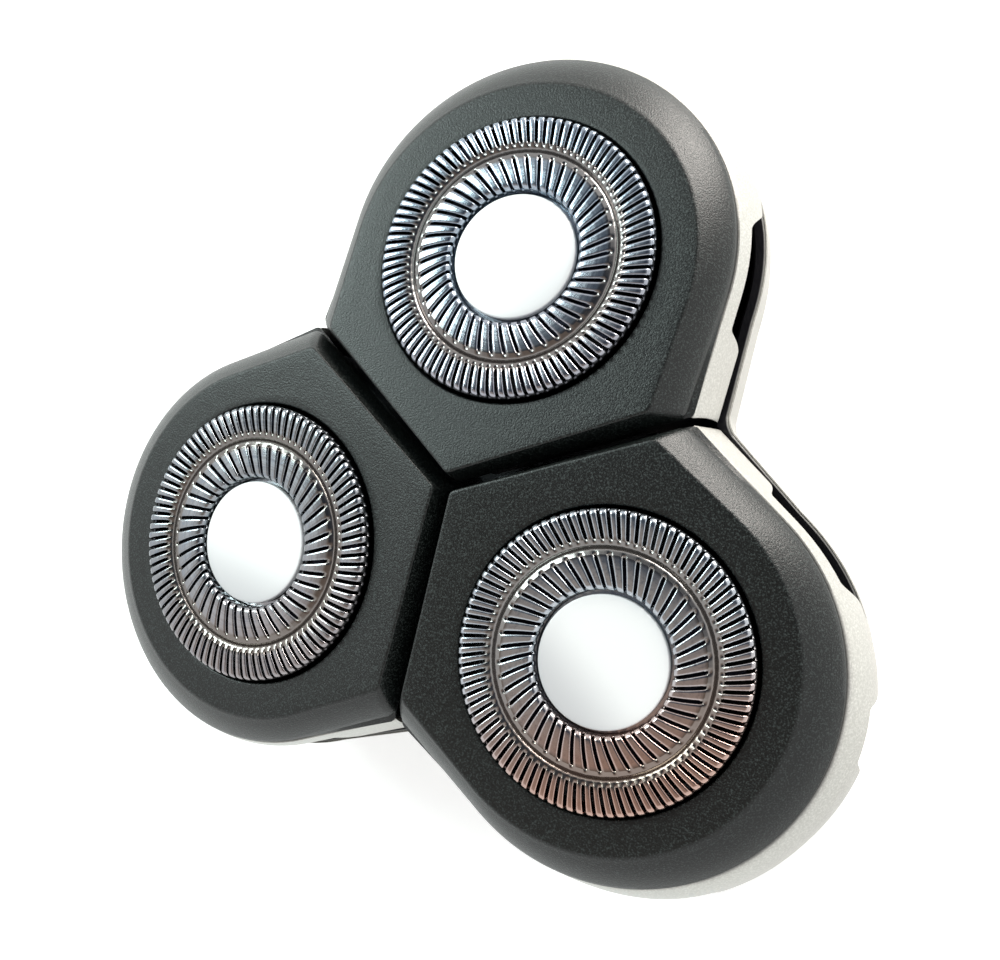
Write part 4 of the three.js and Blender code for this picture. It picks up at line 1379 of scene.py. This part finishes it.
@dataclass(frozen=True)
class Lamp:
    """A square soft light aimed at the unit.

    Its place and side are in metres, and its strength is how bright its face is, where 1 is white.
    """

    name: str
    place: tuple[float, float, float]
    strength: float
    tint: str
    size: float = 0.16
    aim: tuple[float, float, float] = (0.0, 0.0, 0.015)

    def build(self) -> None:
        """Hang the lamp."""
        light = bpy.data.lights.new(self.name, "AREA")
        light.shape = "SQUARE"
        light.size = self.size
        light.energy = self.strength * math.pi * self.size * self.size
        light.color = linear(self.tint)[:3]
        holder = bpy.data.objects.new(self.name, light)
        holder.location = self.place
        aim = Vector(self.aim) - Vector(self.place)
        holder.rotation_euler = aim.to_track_quat("-Z", "Y").to_euler()
        bpy.context.scene.collection.objects.link(holder)


@dataclass
class Studio:
    """A pale floor and walls, a dim ceiling, two soft lights and the camera at the photograph's angle."""

    lamps: tuple[Lamp, ...] = (
        Lamp("window_light", (0.085, 0.3, 0.075), 17.0, "#fff9f2"),
        Lamp("high_fill", (-0.27, 0.1, 0.275), 12.5, "#e2f5f2"),
    )
    floor_colour: str = "#f2f2f1"
    floor_fleck: str = "#f7f7f6"
    floor_grain_mm: float = 2.5
    floor_grain_rough: float = 0.5
    floor_roughness: float = 0.9
    floor_glow: float = 0.45
    floor_half: float = 1.5
    floor_drop: float = 0.1
    ambient: float = 0.65
    wall_top: float = 0.62
    ceiling_start: float = 0.9
    ceiling_colour: str = "#464e5a"
    near_ceiling_colour: str = "#a89a90"
    near_start: float = 0.05
    near_full: float = -0.25
    focal_mm: float = 52.289
    sensor_mm: float = 36.0
    clip_near: float = 0.005
    clip_far: float = 20.0
    camera_mm: tuple[float, float, float] = (46.31, 4.66, 114.09)
    camera_right: tuple[float, float, float] = (0.8726, 0.2708, -0.4066)
    camera_up: tuple[float, float, float] = (-0.2593, 0.9621, 0.0843)
    camera_back: tuple[float, float, float] = (0.4140, 0.0319, 0.9097)

    def floor(self) -> None:
        """A flat sheet of pale paper that shows white where it is seen and keeps a soft shadow."""
        half = self.floor_half
        corners = np.array([(-half, -half, 0), (half, -half, 0), (half, half, 0), (-half, half, 0)], float)
        corners[:, 2] = -self.floor_drop * MM
        sheet = Surface(corners, np.array([[0, 1, 2, 3]])).mesh_object("floor")
        made, tree, shader = new_material("pale_paper")
        grain = noise(tree, object_place(tree), self.floor_grain_mm, rough=self.floor_grain_rough)
        tone = mixed_colour(tree, grain, linear(self.floor_colour), linear(self.floor_fleck))
        tree.links.new(tone, shader.inputs["Base Color"])
        shader.inputs["Roughness"].default_value = self.floor_roughness
        shader.inputs["Emission Color"].default_value = (1, 1, 1, 1)
        inputs = {0: seen_share(tree), 1: self.floor_glow}
        glow = add_node(tree, "ShaderNodeMath", inputs, {"operation": "MULTIPLY"})
        tree.links.new(glow.outputs[0], shader.inputs["Emission Strength"])
        sheet.data.materials.append(made)
        sheet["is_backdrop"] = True

    def world(self) -> None:
        """White walls under a dim ceiling where the room is seen, and an even soft light on the object."""
        made = bpy.data.worlds.new("pale_room")
        made.use_nodes = True
        tree = made.node_tree
        where = add_node(tree, "ShaderNodeTexCoord").outputs["Generated"]
        parts = add_node(tree, "ShaderNodeSeparateXYZ", {"Vector": where}).outputs
        share = ranged(tree, parts[2], self.wall_top, self.ceiling_start, soft=True)
        near = ranged(tree, parts[1], self.near_start, self.near_full, soft=True)
        ceiling = mixed_colour(tree, near, linear(self.ceiling_colour), linear(self.near_ceiling_colour))
        room = mixed_colour(tree, share, (1, 1, 1, 1), ceiling)
        even = (self.ambient, self.ambient, self.ambient, 1.0)
        light = mixed_colour(tree, seen_share(tree), even, room)
        tree.links.new(light, tree.nodes["Background"].inputs["Color"])
        bpy.context.scene.world = made

    def camera(self) -> None:
        """The camera where the photograph was taken from, with its three axes as measured."""
        data = bpy.data.cameras.new("photo_view")
        data.lens, data.sensor_width = self.focal_mm, self.sensor_mm
        data.clip_start, data.clip_end = self.clip_near, self.clip_far
        holder = bpy.data.objects.new("photo_view", data)
        axes = np.array([self.camera_right, self.camera_up, self.camera_back]).T
        turned, _, other = np.linalg.svd(axes)
        square = Matrix((turned @ other).tolist()).to_4x4()
        holder.matrix_world = Matrix.Translation(Vector(self.camera_mm) * MM) @ square
        bpy.context.scene.collection.objects.link(holder)
        bpy.context.scene.camera = holder

    def build(self) -> None:
        """Set up the floor, the lights, the surround and the camera."""
        self.floor()
        for lamp in self.lamps:
            lamp.build()
        self.world()
        self.camera()
        bpy.context.scene.view_settings.view_transform = "Standard"


def main() -> None:
    logging.basicConfig(level=logging.INFO, format="%(message)s")
    solid_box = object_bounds()
    shop = Workshop()
    for station in STATIONS:
        for part in (PodCover, PodShell, PodTray, Guard, WellFloor, CentreCap):
            part(station).build(shop)
    BaseBowl().build(shop)
    Neck().build(shop)
    InnerWorks().build(shop)
    Studio().build()
    boxes = {"cad": solid_box, "visual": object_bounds()}
    boxes = {name: [list(corner) for corner in box] for name, box in boxes.items()}


if __name__ == "__main__":
    main()
